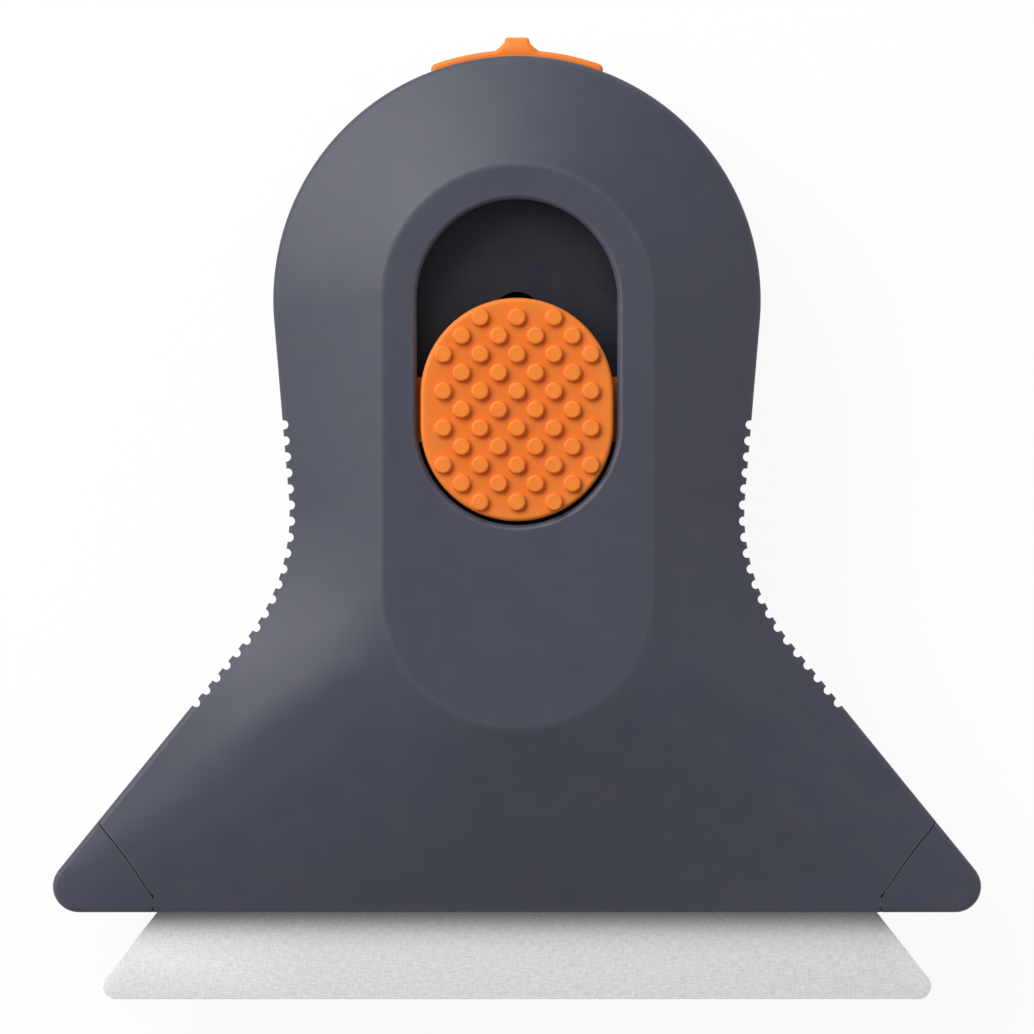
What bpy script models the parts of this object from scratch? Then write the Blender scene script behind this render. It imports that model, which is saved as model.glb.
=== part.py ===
"""Hand scraper: a flat two-part case with a sliding blade, a thumb slide, a hinged cover and a crown latch.

Every piece is drawn in the case's own axes: X across, Y from the mouth line up to the crown, and Z out of
the front, with zero on the parting plane. The case frame then stands on its back land.
"""

import math

import bmesh
import bpy
import numpy as np
from mathutils import Vector

# Case outline, from the mouth line up
DOME_RADIUS = 0.0300
DOME_HEIGHT = 0.0754
SIDE_TAPER = math.radians(4.8)
WAIST_RADIUS = 0.0250
FLANK_TILT = math.radians(39.1)
MOUTH_HALF = 0.06067
CORNER_RADIUS = 0.0032

# Case section
CASE_THICKNESS = 0.0250
WALL = 0.0022
RIM_AT_DOME = 0.0065
RIM_AT_MOUTH = 0.0038
RIM_ROUND = 0.0010
RIM_TURN = math.radians(60)
BULGE_SHARE = 0.12
INNER_RIM_SHARE = 0.60
LAND_HALF = 0.0167
LAND_LOW = 0.0395

# Fits
CLEARANCE = 0.0003
OVERRUN = 0.0010
SINK = 0.0004

# Grip notches along the waist
NOTCH_RADIUS = 0.000565
NOTCH_INSET = 0.00012
NOTCH_PITCH = 0.00198
NOTCH_DROP = 0.0154
NOTCH_COUNT = 20

# Thumb slot, pad and its bumps
SLOT_HALF = 0.0123
SLOT_LENGTH = 0.0154
SLOT_CHAMFER = 0.0005
PAD_SIDE_GAP = 0.00045
PAD_STRAIGHT = 0.00374
PAD_PROUD = 0.0004
PAD_ROUND = 0.0005
BUMP_RADIUS = 0.0011
BUMP_TAPER = 0.0002
BUMP_HEIGHT = 0.0006
BUMP_PITCH = 0.00454
BUMP_ROWS = (3, 4, 5, 4, 5, 4, 5, 4, 5, 4, 3)
PEG_RADIUS = 0.0012
PEG_OFFSET = 0.0060

# Blade and its travel
TRAVEL = 0.0114
BLADE_OUT = 0.0107
BLADE_INSET = 0.00967
BLADE_HEIGHT = 0.0300
BLADE_TILT = math.radians(38.0)
BLADE_THICKNESS = 0.0010
BLADE_CORNER = 0.0016
BLADE_PEG_RADIUS = 0.0020
BLADE_PEG_INSET = 0.0290
BLADE_PEG_HEIGHT = 0.0140
BLADE_PEG_RISE = 0.0009

# Track plate under the slot
TRACK_TOP = 0.0065
TRACK_THICKNESS = 0.0016
TRACK_MARGIN = 0.0010
TRACK_END_MARGIN = 0.0030
DETENT_RADIUS = 0.0031
EAR_HALF = 0.0033
EAR_X = 0.0170
EAR_DROP = 0.0100
EAR_CROWN_INSET = 0.0214
BOSS_RADIUS = 0.0024

# Screws
SHANK_RADIUS = 0.0008
HEAD_RADIUS = 0.0016
HEAD_HEIGHT = 0.0011
TRACK_SCREW_BITE = 0.0060

# Slide yoke and blade carrier
YOKE_THICKNESS = 0.0016
YOKE_HALF_HEIGHT = 0.0040
YOKE_CENTRE_HALF = 0.0070
YOKE_CENTRE_REACH = 0.0110
LEG_THICKNESS = 0.0020
FOOT_HEIGHT = 0.0022
FOOT_LENGTH = 0.0064
FOOT_SCREW_INSET = 0.0042
CARRIER_THICKNESS = 0.0016
CARRIER_MARGIN = 0.0030
CARRIER_LOW = 0.0038
CARRIER_SHOULDER = 0.0170
CARRIER_NECK_DROP = 0.0155
RAIL_X = 0.0070
RAIL_THICKNESS = 0.0012
RAIL_LOW = 0.0060
RAIL_RISE = 0.0126
HOLD_RIB_X = 0.0150
HOLD_RIB_LOW = 0.0060
HOLD_RIB_HIGH = 0.0220

# Detent leaf spring and its rivet
LEAF_THICKNESS = 0.0004
LEAF_HALF_WIDTH = 0.0025
LEAF_BOW = 0.0006
DIMPLE_RADIUS = 0.0019
DIMPLE_DEPTH = 0.0006
RIVET_RADIUS = 0.0007
RIVET_HEAD_RADIUS = 0.0012
RIVET_HEAD_HEIGHT = 0.0004
RIVET_END_GAP = 0.0020

# Cover hinge at the mouth and the slanting seams
LIP_RADIUS = 0.0015
HINGE_PIN_RADIUS = 0.0007
HINGE_PIN_REACH = 0.0040
SEAM_INSET = 0.01587
SEAM_END_INSET = 0.00917
SEAM_END_HEIGHT = 0.0110
GUARD_SCREW_INSET = 0.00827
GUARD_SCREW_HEIGHT = 0.0042
GUARD_BOSS_RADIUS = 0.0023
GUARD_SCREW_SINK = 0.0002
GUARD_SCREW_BITE = 0.0022

# Crown latch
STRAP_PROUD = 0.00075
STRAP_THICKNESS = 0.00175
STRAP_HALF = 0.0108
STRAP_TOP = 0.0046
STRAP_BOTTOM = 0.0042
STRAP_END_BEVEL = 0.0004
NIB_PROUD = 0.0023
NIB_TOP_HALF = 0.0015
NIB_BASE_HALF = 0.00275
LATCH_SWING_ROOM = 0.0008
LATCH_PIN_INSET = 0.0038
LATCH_PIN_DEPTH = 0.0030
LATCH_PIN_RADIUS = 0.00075
LUG_HALF = 0.0030
LUG_RADIUS = 0.0016
CROWN_WALL = 0.0034
CROWN_MARGIN = 0.0020
PIN_SEAT = 0.0020
SPRING_WIRE = 0.00025
SPRING_PITCH = 0.00095
SPRING_TURNS = 1.75
SPRING_LEG = 0.0021

# Places worked out from the sizes above
HALF_THICKNESS = CASE_THICKNESS / 2
CASE_TOP = DOME_HEIGHT + DOME_RADIUS
NOTCH_TOP = DOME_HEIGHT - NOTCH_DROP
SLOT_LOW = DOME_HEIGHT - SLOT_LENGTH
SLOT_TOP = DOME_HEIGHT + SLOT_HALF
EAR_LOW = SLOT_LOW - EAR_DROP
EAR_HIGH = CASE_TOP - EAR_CROWN_INSET
RAIL_HIGH = DOME_HEIGHT + RAIL_RISE
CARRIER_NECK = EAR_LOW - CARRIER_NECK_DROP
BLADE_HALF = MOUTH_HALF - BLADE_INSET
BLADE_PEG_X = BLADE_HALF - BLADE_PEG_INSET
CARRIER_HALF = BLADE_PEG_X + CARRIER_MARGIN
SEAM_X = MOUTH_HALF - SEAM_INSET
SEAM_END_X = MOUTH_HALF - SEAM_END_INSET
GUARD_SCREW_X = MOUTH_HALF - GUARD_SCREW_INSET
PAD_HALF = SLOT_HALF - PAD_SIDE_GAP
PAD_LOW = SLOT_LOW - SLOT_HALF + PAD_SIDE_GAP + PAD_HALF
PAD_HIGH = PAD_LOW + PAD_STRAIGHT
PAD_MIDDLE = (PAD_LOW + PAD_HIGH) / 2
PAD_TOP = HALF_THICKNESS + PAD_PROUD
YOKE_TOP = HALF_THICKNESS - WALL - CLEARANCE
YOKE_BOTTOM = YOKE_TOP - YOKE_THICKNESS
PAD_BOTTOM = YOKE_TOP + CLEARANCE
TRACK_HALF = SLOT_HALF + TRACK_MARGIN
TRACK_BOTTOM = TRACK_TOP - TRACK_THICKNESS
LEG_INNER = TRACK_HALF + CLEARANCE
LEG_OUTER = LEG_INNER + LEG_THICKNESS
CARRIER_TOP = -BLADE_THICKNESS / 2 - CLEARANCE
CARRIER_BOTTOM = CARRIER_TOP - CARRIER_THICKNESS
FOOT_BOTTOM = CARRIER_TOP + CLEARANCE
FOOT_TOP = FOOT_BOTTOM + FOOT_HEIGHT
FOOT_SCREW_X = LEG_OUTER - FOOT_SCREW_INSET
BLADE_TOP = BLADE_HEIGHT - BLADE_OUT
GAP_HALF = BLADE_THICKNESS / 2 + CLEARANCE
HINGE_HEIGHT = LIP_RADIUS
HINGE_LEVEL = GAP_HALF + LIP_RADIUS
STRAP_OUTER = DOME_RADIUS + STRAP_PROUD
STRAP_INNER = STRAP_OUTER - STRAP_THICKNESS
POCKET_RADIUS = STRAP_INNER - LATCH_SWING_ROOM
LATCH_PIN_HEIGHT = CASE_TOP - LATCH_PIN_INSET
NIB_TOP = DOME_HEIGHT + DOME_RADIUS + NIB_PROUD
FRAME_SHIFT = (BLADE_OUT - NIB_TOP) / 2
SIDES = (("left", -1), ("right", 1))


def clear_scene():
    for old in list(bpy.data.objects):
        bpy.data.objects.remove(old, do_unlink=True)


def material(name, colour, roughness, metallic=0.0):
    made = bpy.data.materials.new(name)
    made.use_nodes = True
    shader = made.node_tree.nodes["Principled BSDF"]
    shader.inputs["Base Color"].default_value = (*colour, 1.0)
    shader.inputs["Roughness"].default_value = roughness
    shader.inputs["Metallic"].default_value = metallic
    return made


def piece(name, points, faces):
    """A closed mesh object with its faces turned outwards."""
    mesh = bpy.data.meshes.new(name)
    mesh.from_pydata([tuple(point) for point in points], [], [tuple(face) for face in faces])
    bm = bmesh.new()
    bm.from_mesh(mesh)
    bmesh.ops.recalc_face_normals(bm, faces=bm.faces)
    bm.to_mesh(mesh)
    bm.free()
    mesh.shade_smooth()
    mesh.set_sharp_from_angle(angle=math.radians(30))
    made = bpy.data.objects.new(name, mesh)
    bpy.context.scene.collection.objects.link(made)
    return made


def loft(name, rings):
    """Closed rings of equally many points, skinned in order and capped at both ends."""
    rings = np.asarray(rings)
    count = rings.shape[1]
    faces = []
    for level in range(len(rings) - 1):
        for near in range(count):
            far = (near + 1) % count
            low, high = level * count, (level + 1) * count
            faces.append((low + near, low + far, high + far, high + near))
    faces.append(range(count))
    faces.append(range((len(rings) - 1) * count, len(rings) * count))
    return piece(name, rings.reshape(-1, 3), faces)


def at_level(outline, level):
    outline = np.asarray(outline)
    return np.column_stack((outline, np.broadcast_to(level, len(outline))))


def plate(name, outline, low, high):
    """An outline in the case's plane, extruded through its thickness."""
    return loft(name, [at_level(outline, low), at_level(outline, high)])


def bar(name, profile, left, right):
    """A profile of height and level, extruded across the case."""
    profile = np.asarray(profile)
    ends = [np.column_stack((np.full(len(profile), x), profile)) for x in (left, right)]
    return loft(name, ends)


def box(name, left, right, low, high, bottom, top):
    return plate(name, [(left, low), (right, low), (right, high), (left, high)], bottom, top)


def arc(centre, radius, start, end, steps):
    angles = np.linspace(start, end, steps + 1)
    return np.column_stack((centre[0] + radius * np.cos(angles), centre[1] + radius * np.sin(angles)))


def circle(centre, radius, steps=20):
    return arc(centre, radius, 0, math.tau, steps)[:-1]


def turned(name, centre, profile, steps=20):
    """A piece turned about an upright axis, from pairs of radius and level."""
    return loft(name, [at_level(circle(centre, radius, steps), level) for radius, level in profile])


def rod(name, centre, radius, low, high, steps=20):
    return turned(name, centre, ((radius, low), (radius, high)), steps)


def cross_rod(name, centre, radius, left, right, steps=20):
    return bar(name, circle(centre, radius, steps), left, right)


def stadium(half, low, high, steps=14):
    """An upright oblong with round ends about the heights low and high."""
    upper = arc((0, high), half, 0, math.pi, steps)
    lower = arc((0, low), half, math.pi, math.tau, steps)
    return np.concatenate((upper, lower))


def shape(target, tool, operation):
    tool.hide_render = True
    tool.display_type = "WIRE"
    change = target.modifiers.new(tool.name, "BOOLEAN")
    change.operation = operation
    change.solver = "EXACT"
    change.object = tool


def cut(target, tool):
    shape(target, tool, "DIFFERENCE")


def add(target, tool):
    shape(target, tool, "UNION")


def keep(target, tool):
    shape(target, tool, "INTERSECT")


def case_edge():
    """Right half of the case outline from the crown to the middle of the mouth, with inward normals."""
    dome = np.array((0, DOME_HEIGHT))
    across_side = np.array((math.cos(SIDE_TAPER), -math.sin(SIDE_TAPER)))
    down_side = np.array((-math.sin(SIDE_TAPER), -math.cos(SIDE_TAPER)))
    across_flank = np.array((math.cos(FLANK_TILT), math.sin(FLANK_TILT)))
    down_flank = np.array((math.sin(FLANK_TILT), -math.cos(FLANK_TILT)))
    side_top = dome + DOME_RADIUS * across_side
    mouth_end = np.array((MOUTH_HALF, 0))
    run, _ = np.linalg.solve(np.column_stack((down_side, down_flank)), mouth_end - side_top)
    waist = side_top + run * down_side
    waist_run = WAIST_RADIUS * math.tan((SIDE_TAPER + FLANK_TILT) / 2)
    waist_top = waist - waist_run * down_side
    waist_centre = waist_top + WAIST_RADIUS * across_side
    corner_run = CORNER_RADIUS * math.tan((math.pi / 2 + FLANK_TILT) / 2)
    corner = np.array((MOUTH_HALF - corner_run, CORNER_RADIUS))
    dome_arc = arc(dome, DOME_RADIUS, math.pi / 2, -SIDE_TAPER, 18)
    waist_arc = arc(waist_centre, WAIST_RADIUS, math.pi - SIDE_TAPER, math.pi + FLANK_TILT, 7)
    corner_arc = arc(corner, CORNER_RADIUS, FLANK_TILT, -math.pi / 2, 6)
    runs = (
        (dome_arc, (dome - dome_arc) / DOME_RADIUS),
        (between(side_top, waist_top, 3), -across_side),
        (waist_arc, (waist_arc - waist_centre) / WAIST_RADIUS),
        (between(waist_arc[-1], corner_arc[0], 6), -across_flank),
        (corner_arc, (corner - corner_arc) / CORNER_RADIUS),
        (between(corner_arc[-1], (0, 0), 9), np.array((0, 1))),
    )
    points = np.concatenate([run[0] for run in runs] + [np.zeros((1, 2))])
    normals = [np.broadcast_to(run[1], run[0].shape) for run in runs]
    return points, np.concatenate(normals + [np.array([(0, 1)])])


def between(start, end, steps):
    """Points inside a straight run, without its ends."""
    shares = np.linspace(0, 1, steps + 1)[1:-1, None]
    return np.asarray(start) * (1 - shares) + np.asarray(end) * shares


def whole_edge():
    points, normals = case_edge()
    mirror = np.array((-1, 1))
    left = slice(-2, 0, -1)
    return (
        np.concatenate((points, points[left] * mirror)),
        np.concatenate((normals, normals[left] * mirror)),
    )


def land_points(edge, half):
    """Where each edge point's slope meets the land, an upright oblong."""
    middle = np.zeros_like(edge)
    middle[:, 1] = np.clip(edge[:, 1], LAND_LOW, DOME_HEIGHT)
    away = edge - middle
    return middle + half * away / np.linalg.norm(away, axis=1, keepdims=True)


def rim_level(heights):
    share = np.clip(heights / LAND_LOW, 0, 1)
    return RIM_AT_MOUTH + (RIM_AT_DOME - RIM_AT_MOUTH) * share * share * (3 - 2 * share)


def slope_rings(foot, foot_level, top, top_level, steps):
    """Rings up the slope from its foot to the land, slightly crowned."""
    rings = []
    for share in np.linspace(0, 1, steps + 1):
        lift = share + BULGE_SHARE * share * (1 - share)
        level = foot_level + (top_level - foot_level) * lift
        rings.append(np.column_stack((foot * (1 - share) + top * share, level)))
    return rings


def outer_body(name, side, start):
    """The case's outside on one side of the parting plane, as a solid."""
    edge, normals = whole_edge()
    rim = rim_level(edge[:, 1])
    rings = [at_level(edge, start), at_level(edge, rim - RIM_ROUND)]
    for turn in (RIM_TURN / 2, RIM_TURN):
        foot = edge + normals * RIM_ROUND * (1 - math.cos(turn))
        foot_level = rim - RIM_ROUND * (1 - math.sin(turn))
        rings.append(at_level(foot, foot_level))
    rings.pop()
    rings += slope_rings(foot, foot_level, land_points(edge, LAND_HALF), HALF_THICKNESS, 3)
    return loft(name, np.array(rings) * (1, 1, side))


def cavity(name, side, wall, start):
    """The room inside one half of the case, a wall in from the outside and up from a start level."""
    edge, normals = whole_edge()
    foot = edge + normals * wall
    foot_level = rim_level(edge[:, 1]) - INNER_RIM_SHARE * wall
    top = land_points(edge, LAND_HALF)
    rings = [at_level(foot, start)]
    rings += slope_rings(foot, foot_level, top, HALF_THICKNESS - wall, 2)
    return loft(name, np.array(rings) * (1, 1, side))


def along_edge(distance):
    """The place and inward normal at a distance along the right edge, from the notches' top."""
    points, normals = case_edge()
    lengths = np.concatenate(([0], np.cumsum(np.linalg.norm(np.diff(points, axis=0), axis=1))))
    start = np.interp(-NOTCH_TOP, -points[:, 1], lengths)
    at = start + distance
    place = np.array([np.interp(at, lengths, points[:, axis]) for axis in (0, 1)])
    normal = np.array([np.interp(at, lengths, normals[:, axis]) for axis in (0, 1)])
    return place, normal / np.linalg.norm(normal)


def notches(name, side, mirror):
    """Cutters for one side's row of round grip notches, as one mesh of separate rods."""
    points, faces = [], []
    steps = 8
    reach = side * (RIM_AT_DOME + OVERRUN)
    for index in range(NOTCH_COUNT):
        place, normal = along_edge(index * NOTCH_PITCH)
        centre = (place + normal * NOTCH_INSET) * (mirror, 1)
        first = len(points)
        for level in (-side * OVERRUN, reach):
            points.extend(at_level(circle(centre, NOTCH_RADIUS, steps), level))
        for near in range(steps):
            far = (near + 1) % steps
            faces.append((first + near, first + far, first + steps + far, first + steps + near))
        faces.append(range(first, first + steps))
        faces.append(range(first + steps, first + 2 * steps))
    return piece(name, points, faces)


def blade_point_half():
    """Half the blade's width where its slanted sides would meet its edge without the round corners."""
    return BLADE_HALF - BLADE_CORNER + BLADE_CORNER * (1 + math.sin(BLADE_TILT)) / math.cos(BLADE_TILT)


def blade_room(name):
    """The flat room that the blade sweeps, open at the mouth."""
    slope = math.tan(BLADE_TILT)
    margin = CLEARANCE / math.cos(BLADE_TILT)
    low = -OVERRUN
    high = BLADE_TOP + TRAVEL + OVERRUN
    drawn_in = TRAVEL - BLADE_OUT
    wide, narrow = (
        blade_point_half() + margin + (drawn_in - height) * slope for height in (low, high)
    )
    outline = [(-wide, low), (wide, low), (narrow, high), (-narrow, high)]
    return plate(name, outline, -GAP_HALF, GAP_HALF)


def crown_sector(name, inner, outer, half, low, high):
    """A curved block about the dome's centre, seen from the front as a sector of a ring."""
    reach = math.asin(half / DOME_RADIUS)
    start, end = math.pi / 2 - reach, math.pi / 2 + reach
    centre = (0, DOME_HEIGHT)
    outline = np.concatenate((arc(centre, outer, start, end, 9), arc(centre, inner, end, start, 9)))
    return plate(name, outline, low, high)


def crown_pocket(name, low, high):
    """Cutter for the latch's pocket in the crown of a shell."""
    half = STRAP_HALF + CLEARANCE
    return crown_sector(name, POCKET_RADIUS, STRAP_OUTER + OVERRUN, half, low, high)


def crown_wall(name, depth, low, high):
    """The wall behind the latch's pocket, sunk a little into the pocket's cut."""
    outer = POCKET_RADIUS + SINK
    return crown_sector(name, outer - depth, outer, STRAP_HALF + CROWN_MARGIN, low, high)


def slope_foot():
    """The right edge where the rounded rim meets the slope: its points and levels."""
    edge, normals = case_edge()
    level = rim_level(edge[:, 1]) - RIM_ROUND * (1 - math.sin(RIM_TURN))
    return edge + normals * RIM_ROUND * (1 - math.cos(RIM_TURN)), level


def slope_level(x, height):
    """The outside's level over a point of the lower slope, which fans out from the land's lower centre."""
    foot, levels = slope_foot()
    lower = foot[:, 1] < LAND_LOW
    away = foot[lower] - (0, LAND_LOW)
    turns = -np.arctan2(away[:, 1], away[:, 0])
    turn = math.atan2(LAND_LOW - height, x)
    reach = np.interp(turn, turns, np.linalg.norm(away, axis=1))
    start = np.interp(turn, turns, levels[lower])
    share = (reach - math.hypot(x, height - LAND_LOW)) / (reach - LAND_HALF)
    share = min(max(share, 0), 1)
    return start + (HALF_THICKNESS - start) * (share + BULGE_SHARE * share * (1 - share))


def seam_radius(x):
    """Radius about the hinge at which cover and guard part, so that the cover swings free of the guard."""
    climb = (SEAM_END_HEIGHT - HINGE_HEIGHT) / (SEAM_END_X - SEAM_X)
    height = HINGE_HEIGHT + (x - SEAM_X) * climb
    return math.hypot(height - HINGE_HEIGHT, slope_level(x, height) - HINGE_LEVEL)


def guard_zone(name, mirror, grow):
    """The turned zone about the hinge that a corner guard fills, grown for the cover's cut."""
    rings = []
    for x in np.linspace(SEAM_X, MOUTH_HALF + OVERRUN, 11):
        profile = circle((HINGE_HEIGHT, HINGE_LEVEL), seam_radius(x) + grow, 48)
        rings.append(np.column_stack((np.full(len(profile), mirror * (x - grow)), profile)))
    return loft(name, rings)


def lip_cut(name):
    """Cutter that rounds the cover's inner mouth edge about the hinge, so it swings clear of the blade."""
    round_part = arc((HINGE_HEIGHT, HINGE_LEVEL), LIP_RADIUS, math.pi, 3 * math.pi / 2, 6)
    bottom = -OVERRUN
    outline = [(-OVERRUN, HINGE_LEVEL), *round_part, (HINGE_HEIGHT, bottom), (-OVERRUN, bottom)]
    return bar(name, outline, -MOUTH_HALF, MOUTH_HALF)


def build_back_shell():
    shell = outer_body("back_shell", -1, CLEARANCE / 2)
    cut(shell, cavity("back_shell_room", -1, WALL, -OVERRUN))
    for name, mirror in SIDES:
        cut(shell, notches(f"back_notches_{name}", -1, mirror))
    floor = WALL / 2 - HALF_THICKNESS
    add(shell, crown_wall("back_crown_wall", CROWN_WALL, -RIM_AT_DOME - SINK / 2, -CLEARANCE))
    for name, mirror in SIDES:
        rail = mirror * RAIL_X
        edges = (rail - RAIL_THICKNESS / 2, rail + RAIL_THICKNESS / 2)
        top = CARRIER_BOTTOM - CLEARANCE
        add(shell, keep_in_room(box(f"rail_{name}", *edges, RAIL_LOW, RAIL_HIGH, floor, top)))
        for end, height in (("low", EAR_LOW), ("high", EAR_HIGH)):
            place = (mirror * EAR_X, height)
            top = TRACK_BOTTOM - CLEARANCE
            add(shell, keep_in_room(rod(f"track_boss_{end}_{name}", place, BOSS_RADIUS, floor, top)))
            hole_low = top - TRACK_SCREW_BITE
            radius = SHANK_RADIUS + CLEARANCE
            cut(shell, rod(f"track_hole_{end}_{name}", place, radius, hole_low, top + OVERRUN))
        place = (mirror * GUARD_SCREW_X, GUARD_SCREW_HEIGHT)
        boss = rod(f"guard_boss_{name}", place, GUARD_BOSS_RADIUS, -RIM_AT_MOUTH, -CLEARANCE)
        add(shell, boss)
        head = HEAD_RADIUS + CLEARANCE
        seat = guard_head_level() + HEAD_HEIGHT + CLEARANCE
        low = -RIM_AT_DOME
        shank = SHANK_RADIUS + CLEARANCE
        cut(shell, rod(f"guard_counterbore_{name}", place, head, low, seat))
        cut(shell, rod(f"guard_hole_{name}", place, shank, low, OVERRUN))
    cut(shell, blade_room("back_blade_room"))
    bottom = -STRAP_BOTTOM - LATCH_SWING_ROOM
    cut(shell, crown_pocket("back_pocket", bottom, OVERRUN))
    room = LUG_HALF + CLEARANCE
    spring_room = room + spring_length() + CLEARANCE
    inner = LATCH_PIN_HEIGHT - LUG_RADIUS - CLEARANCE
    floor = bottom - SINK
    cut(shell, box("lug_slot", -room, spring_room, inner, CASE_TOP + OVERRUN, floor, OVERRUN))
    axis = (LATCH_PIN_HEIGHT, -LATCH_PIN_DEPTH)
    hole = LATCH_PIN_RADIUS + CLEARANCE
    left, right = latch_pin_ends()
    cut(shell, cross_rod("latch_pin_hole", axis, hole, left - CLEARANCE, right + CLEARANCE))
    return shell


def keep_in_room(tool):
    """Trims a boss or rail to the back shell's room and a little of its wall."""
    keep(tool, cavity(f"{tool.name}_trim", -1, WALL - SINK, -TRACK_TOP))
    return tool


def guard_head_level():
    return -RIM_AT_MOUTH - GUARD_SCREW_SINK


def latch_pin_ends():
    room = LUG_HALF + CLEARANCE
    return -room - PIN_SEAT, room + spring_length() + CLEARANCE + PIN_SEAT


def spring_length():
    return SPRING_TURNS * SPRING_PITCH + 2 * SPRING_WIRE


def build_front_cover():
    cover = outer_body("front_cover", 1, CLEARANCE / 2)
    cut(cover, cavity("front_cover_room", 1, WALL, -OVERRUN))
    for name, mirror in SIDES:
        cut(cover, notches(f"front_notches_{name}", 1, mirror))
    low = SLOT_LOW
    bottom = HALF_THICKNESS - WALL - OVERRUN
    rings = [at_level(stadium(SLOT_HALF, low, DOME_HEIGHT), bottom)]
    for rise in (0, SLOT_CHAMFER + OVERRUN):
        ring = stadium(SLOT_HALF + rise, low, DOME_HEIGHT)
        rings.append(at_level(ring, HALF_THICKNESS - SLOT_CHAMFER + rise))
    cut(cover, loft("thumb_slot", rings))
    add(cover, crown_wall("front_crown_wall", WALL, CLEARANCE, RIM_AT_DOME))
    cut(cover, crown_pocket("front_pocket", -OVERRUN, STRAP_TOP + CLEARANCE))
    hinge = (HINGE_HEIGHT, HINGE_LEVEL)
    end = SEAM_X + OVERRUN
    add(cover, cross_rod("hinge_roll", hinge, LIP_RADIUS, -end, end))
    for name, mirror in SIDES:
        rib = mirror * HOLD_RIB_X
        edges = (rib - RAIL_THICKNESS / 2, rib + RAIL_THICKNESS / 2)
        top = HINGE_LEVEL + WALL
        add(cover, box(f"hold_rib_{name}", *edges, HOLD_RIB_LOW, HOLD_RIB_HIGH, GAP_HALF, top))
    cut(cover, blade_room("front_blade_room"))
    cut(cover, lip_cut("cover_lip"))
    for name, mirror in SIDES:
        cut(cover, guard_zone(f"cover_seam_{name}", mirror, CLEARANCE / 2))
        start, stop = sorted((mirror * (SEAM_X - HINGE_PIN_REACH - CLEARANCE), mirror * MOUTH_HALF))
        hole = HINGE_PIN_RADIUS + CLEARANCE
        cut(cover, cross_rod(f"cover_pin_hole_{name}", hinge, hole, start, stop))
    return cover


def build_guard(name, mirror):
    """A corner guard: the case's corner outside the seam, bored for the hinge pin and its screw."""
    guard = outer_body(f"{name}_guard", 1, CLEARANCE / 2)
    keep(guard, guard_zone(f"{name}_guard_zone", mirror, -CLEARANCE / 2))
    cut(guard, blade_room(f"{name}_guard_blade_room"))
    hinge = (HINGE_HEIGHT, HINGE_LEVEL)
    start, stop = sorted((0, mirror * (SEAM_X + HINGE_PIN_REACH + CLEARANCE)))
    hole = HINGE_PIN_RADIUS + CLEARANCE
    cut(guard, cross_rod(f"{name}_guard_pin_hole", hinge, hole, start, stop))
    place = (mirror * GUARD_SCREW_X, GUARD_SCREW_HEIGHT)
    top = GUARD_SCREW_BITE + CLEARANCE
    cut(guard, rod(f"{name}_guard_screw_hole", place, SHANK_RADIUS + CLEARANCE, -OVERRUN, top))
    return guard


def build_hinge_pin(name, mirror):
    ends = sorted((mirror * (SEAM_X - HINGE_PIN_REACH), mirror * (SEAM_X + HINGE_PIN_REACH)))
    return cross_rod(f"{name}_hinge_pin", (HINGE_HEIGHT, HINGE_LEVEL), HINGE_PIN_RADIUS, *ends, 16)


def screw(name, place, head_level, direction, length):
    """A pan-head screw: its head starts at head_level and its shank points along direction."""
    under = head_level + direction * HEAD_HEIGHT
    tip = under + direction * length
    edge = SHANK_RADIUS / 2
    profile = (
        (HEAD_RADIUS - edge / 2, head_level),
        (HEAD_RADIUS, head_level + direction * edge / 2),
        (HEAD_RADIUS, under),
        (SHANK_RADIUS, under),
        (SHANK_RADIUS, tip - direction * edge),
        (edge, tip),
    )
    return turned(name, place, profile, 14)


def build_guard_screw(name, mirror):
    place = (mirror * GUARD_SCREW_X, GUARD_SCREW_HEIGHT)
    length = GUARD_SCREW_BITE - guard_head_level() - HEAD_HEIGHT
    return screw(f"{name}_guard_screw", place, guard_head_level(), 1, length)


def build_track_plate():
    """The slot's dark floor, with two detent holes and four screwed ears."""
    low = SLOT_LOW - SLOT_HALF - TRACK_END_MARGIN
    high = SLOT_TOP + TRACK_END_MARGIN
    track = box("track_plate", -TRACK_HALF, TRACK_HALF, low, high, TRACK_BOTTOM, TRACK_TOP)
    for end, height in (("low", EAR_LOW), ("high", EAR_HIGH)):
        right = arc((EAR_X, height), EAR_HALF, -math.pi / 2, math.pi / 2, 10)
        left = arc((-EAR_X, height), EAR_HALF, math.pi / 2, 3 * math.pi / 2, 10)
        ears = np.concatenate((right, left))
        add(track, plate(f"{end}_ears", ears, TRACK_BOTTOM, TRACK_TOP))
        for name, mirror in SIDES:
            radius = SHANK_RADIUS + CLEARANCE
            tool = rod(
                f"ear_hole_{end}_{name}",
                (mirror * EAR_X, height),
                radius,
                TRACK_BOTTOM - OVERRUN,
                TRACK_TOP + OVERRUN,
            )
            cut(track, tool)
    for state, height in (("out", PAD_MIDDLE), ("in", PAD_MIDDLE + TRAVEL)):
        tool = rod(
            f"detent_hole_{state}",
            (0, height),
            DETENT_RADIUS,
            TRACK_BOTTOM - OVERRUN,
            TRACK_TOP + OVERRUN,
            28,
        )
        cut(track, tool)
    return track


def build_track_screw(end, height, name, mirror):
    head = TRACK_TOP + CLEARANCE + HEAD_HEIGHT
    length = TRACK_THICKNESS + TRACK_SCREW_BITE
    return screw(f"track_screw_{end}_{name}", (mirror * EAR_X, height), head, -1, length)


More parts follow.
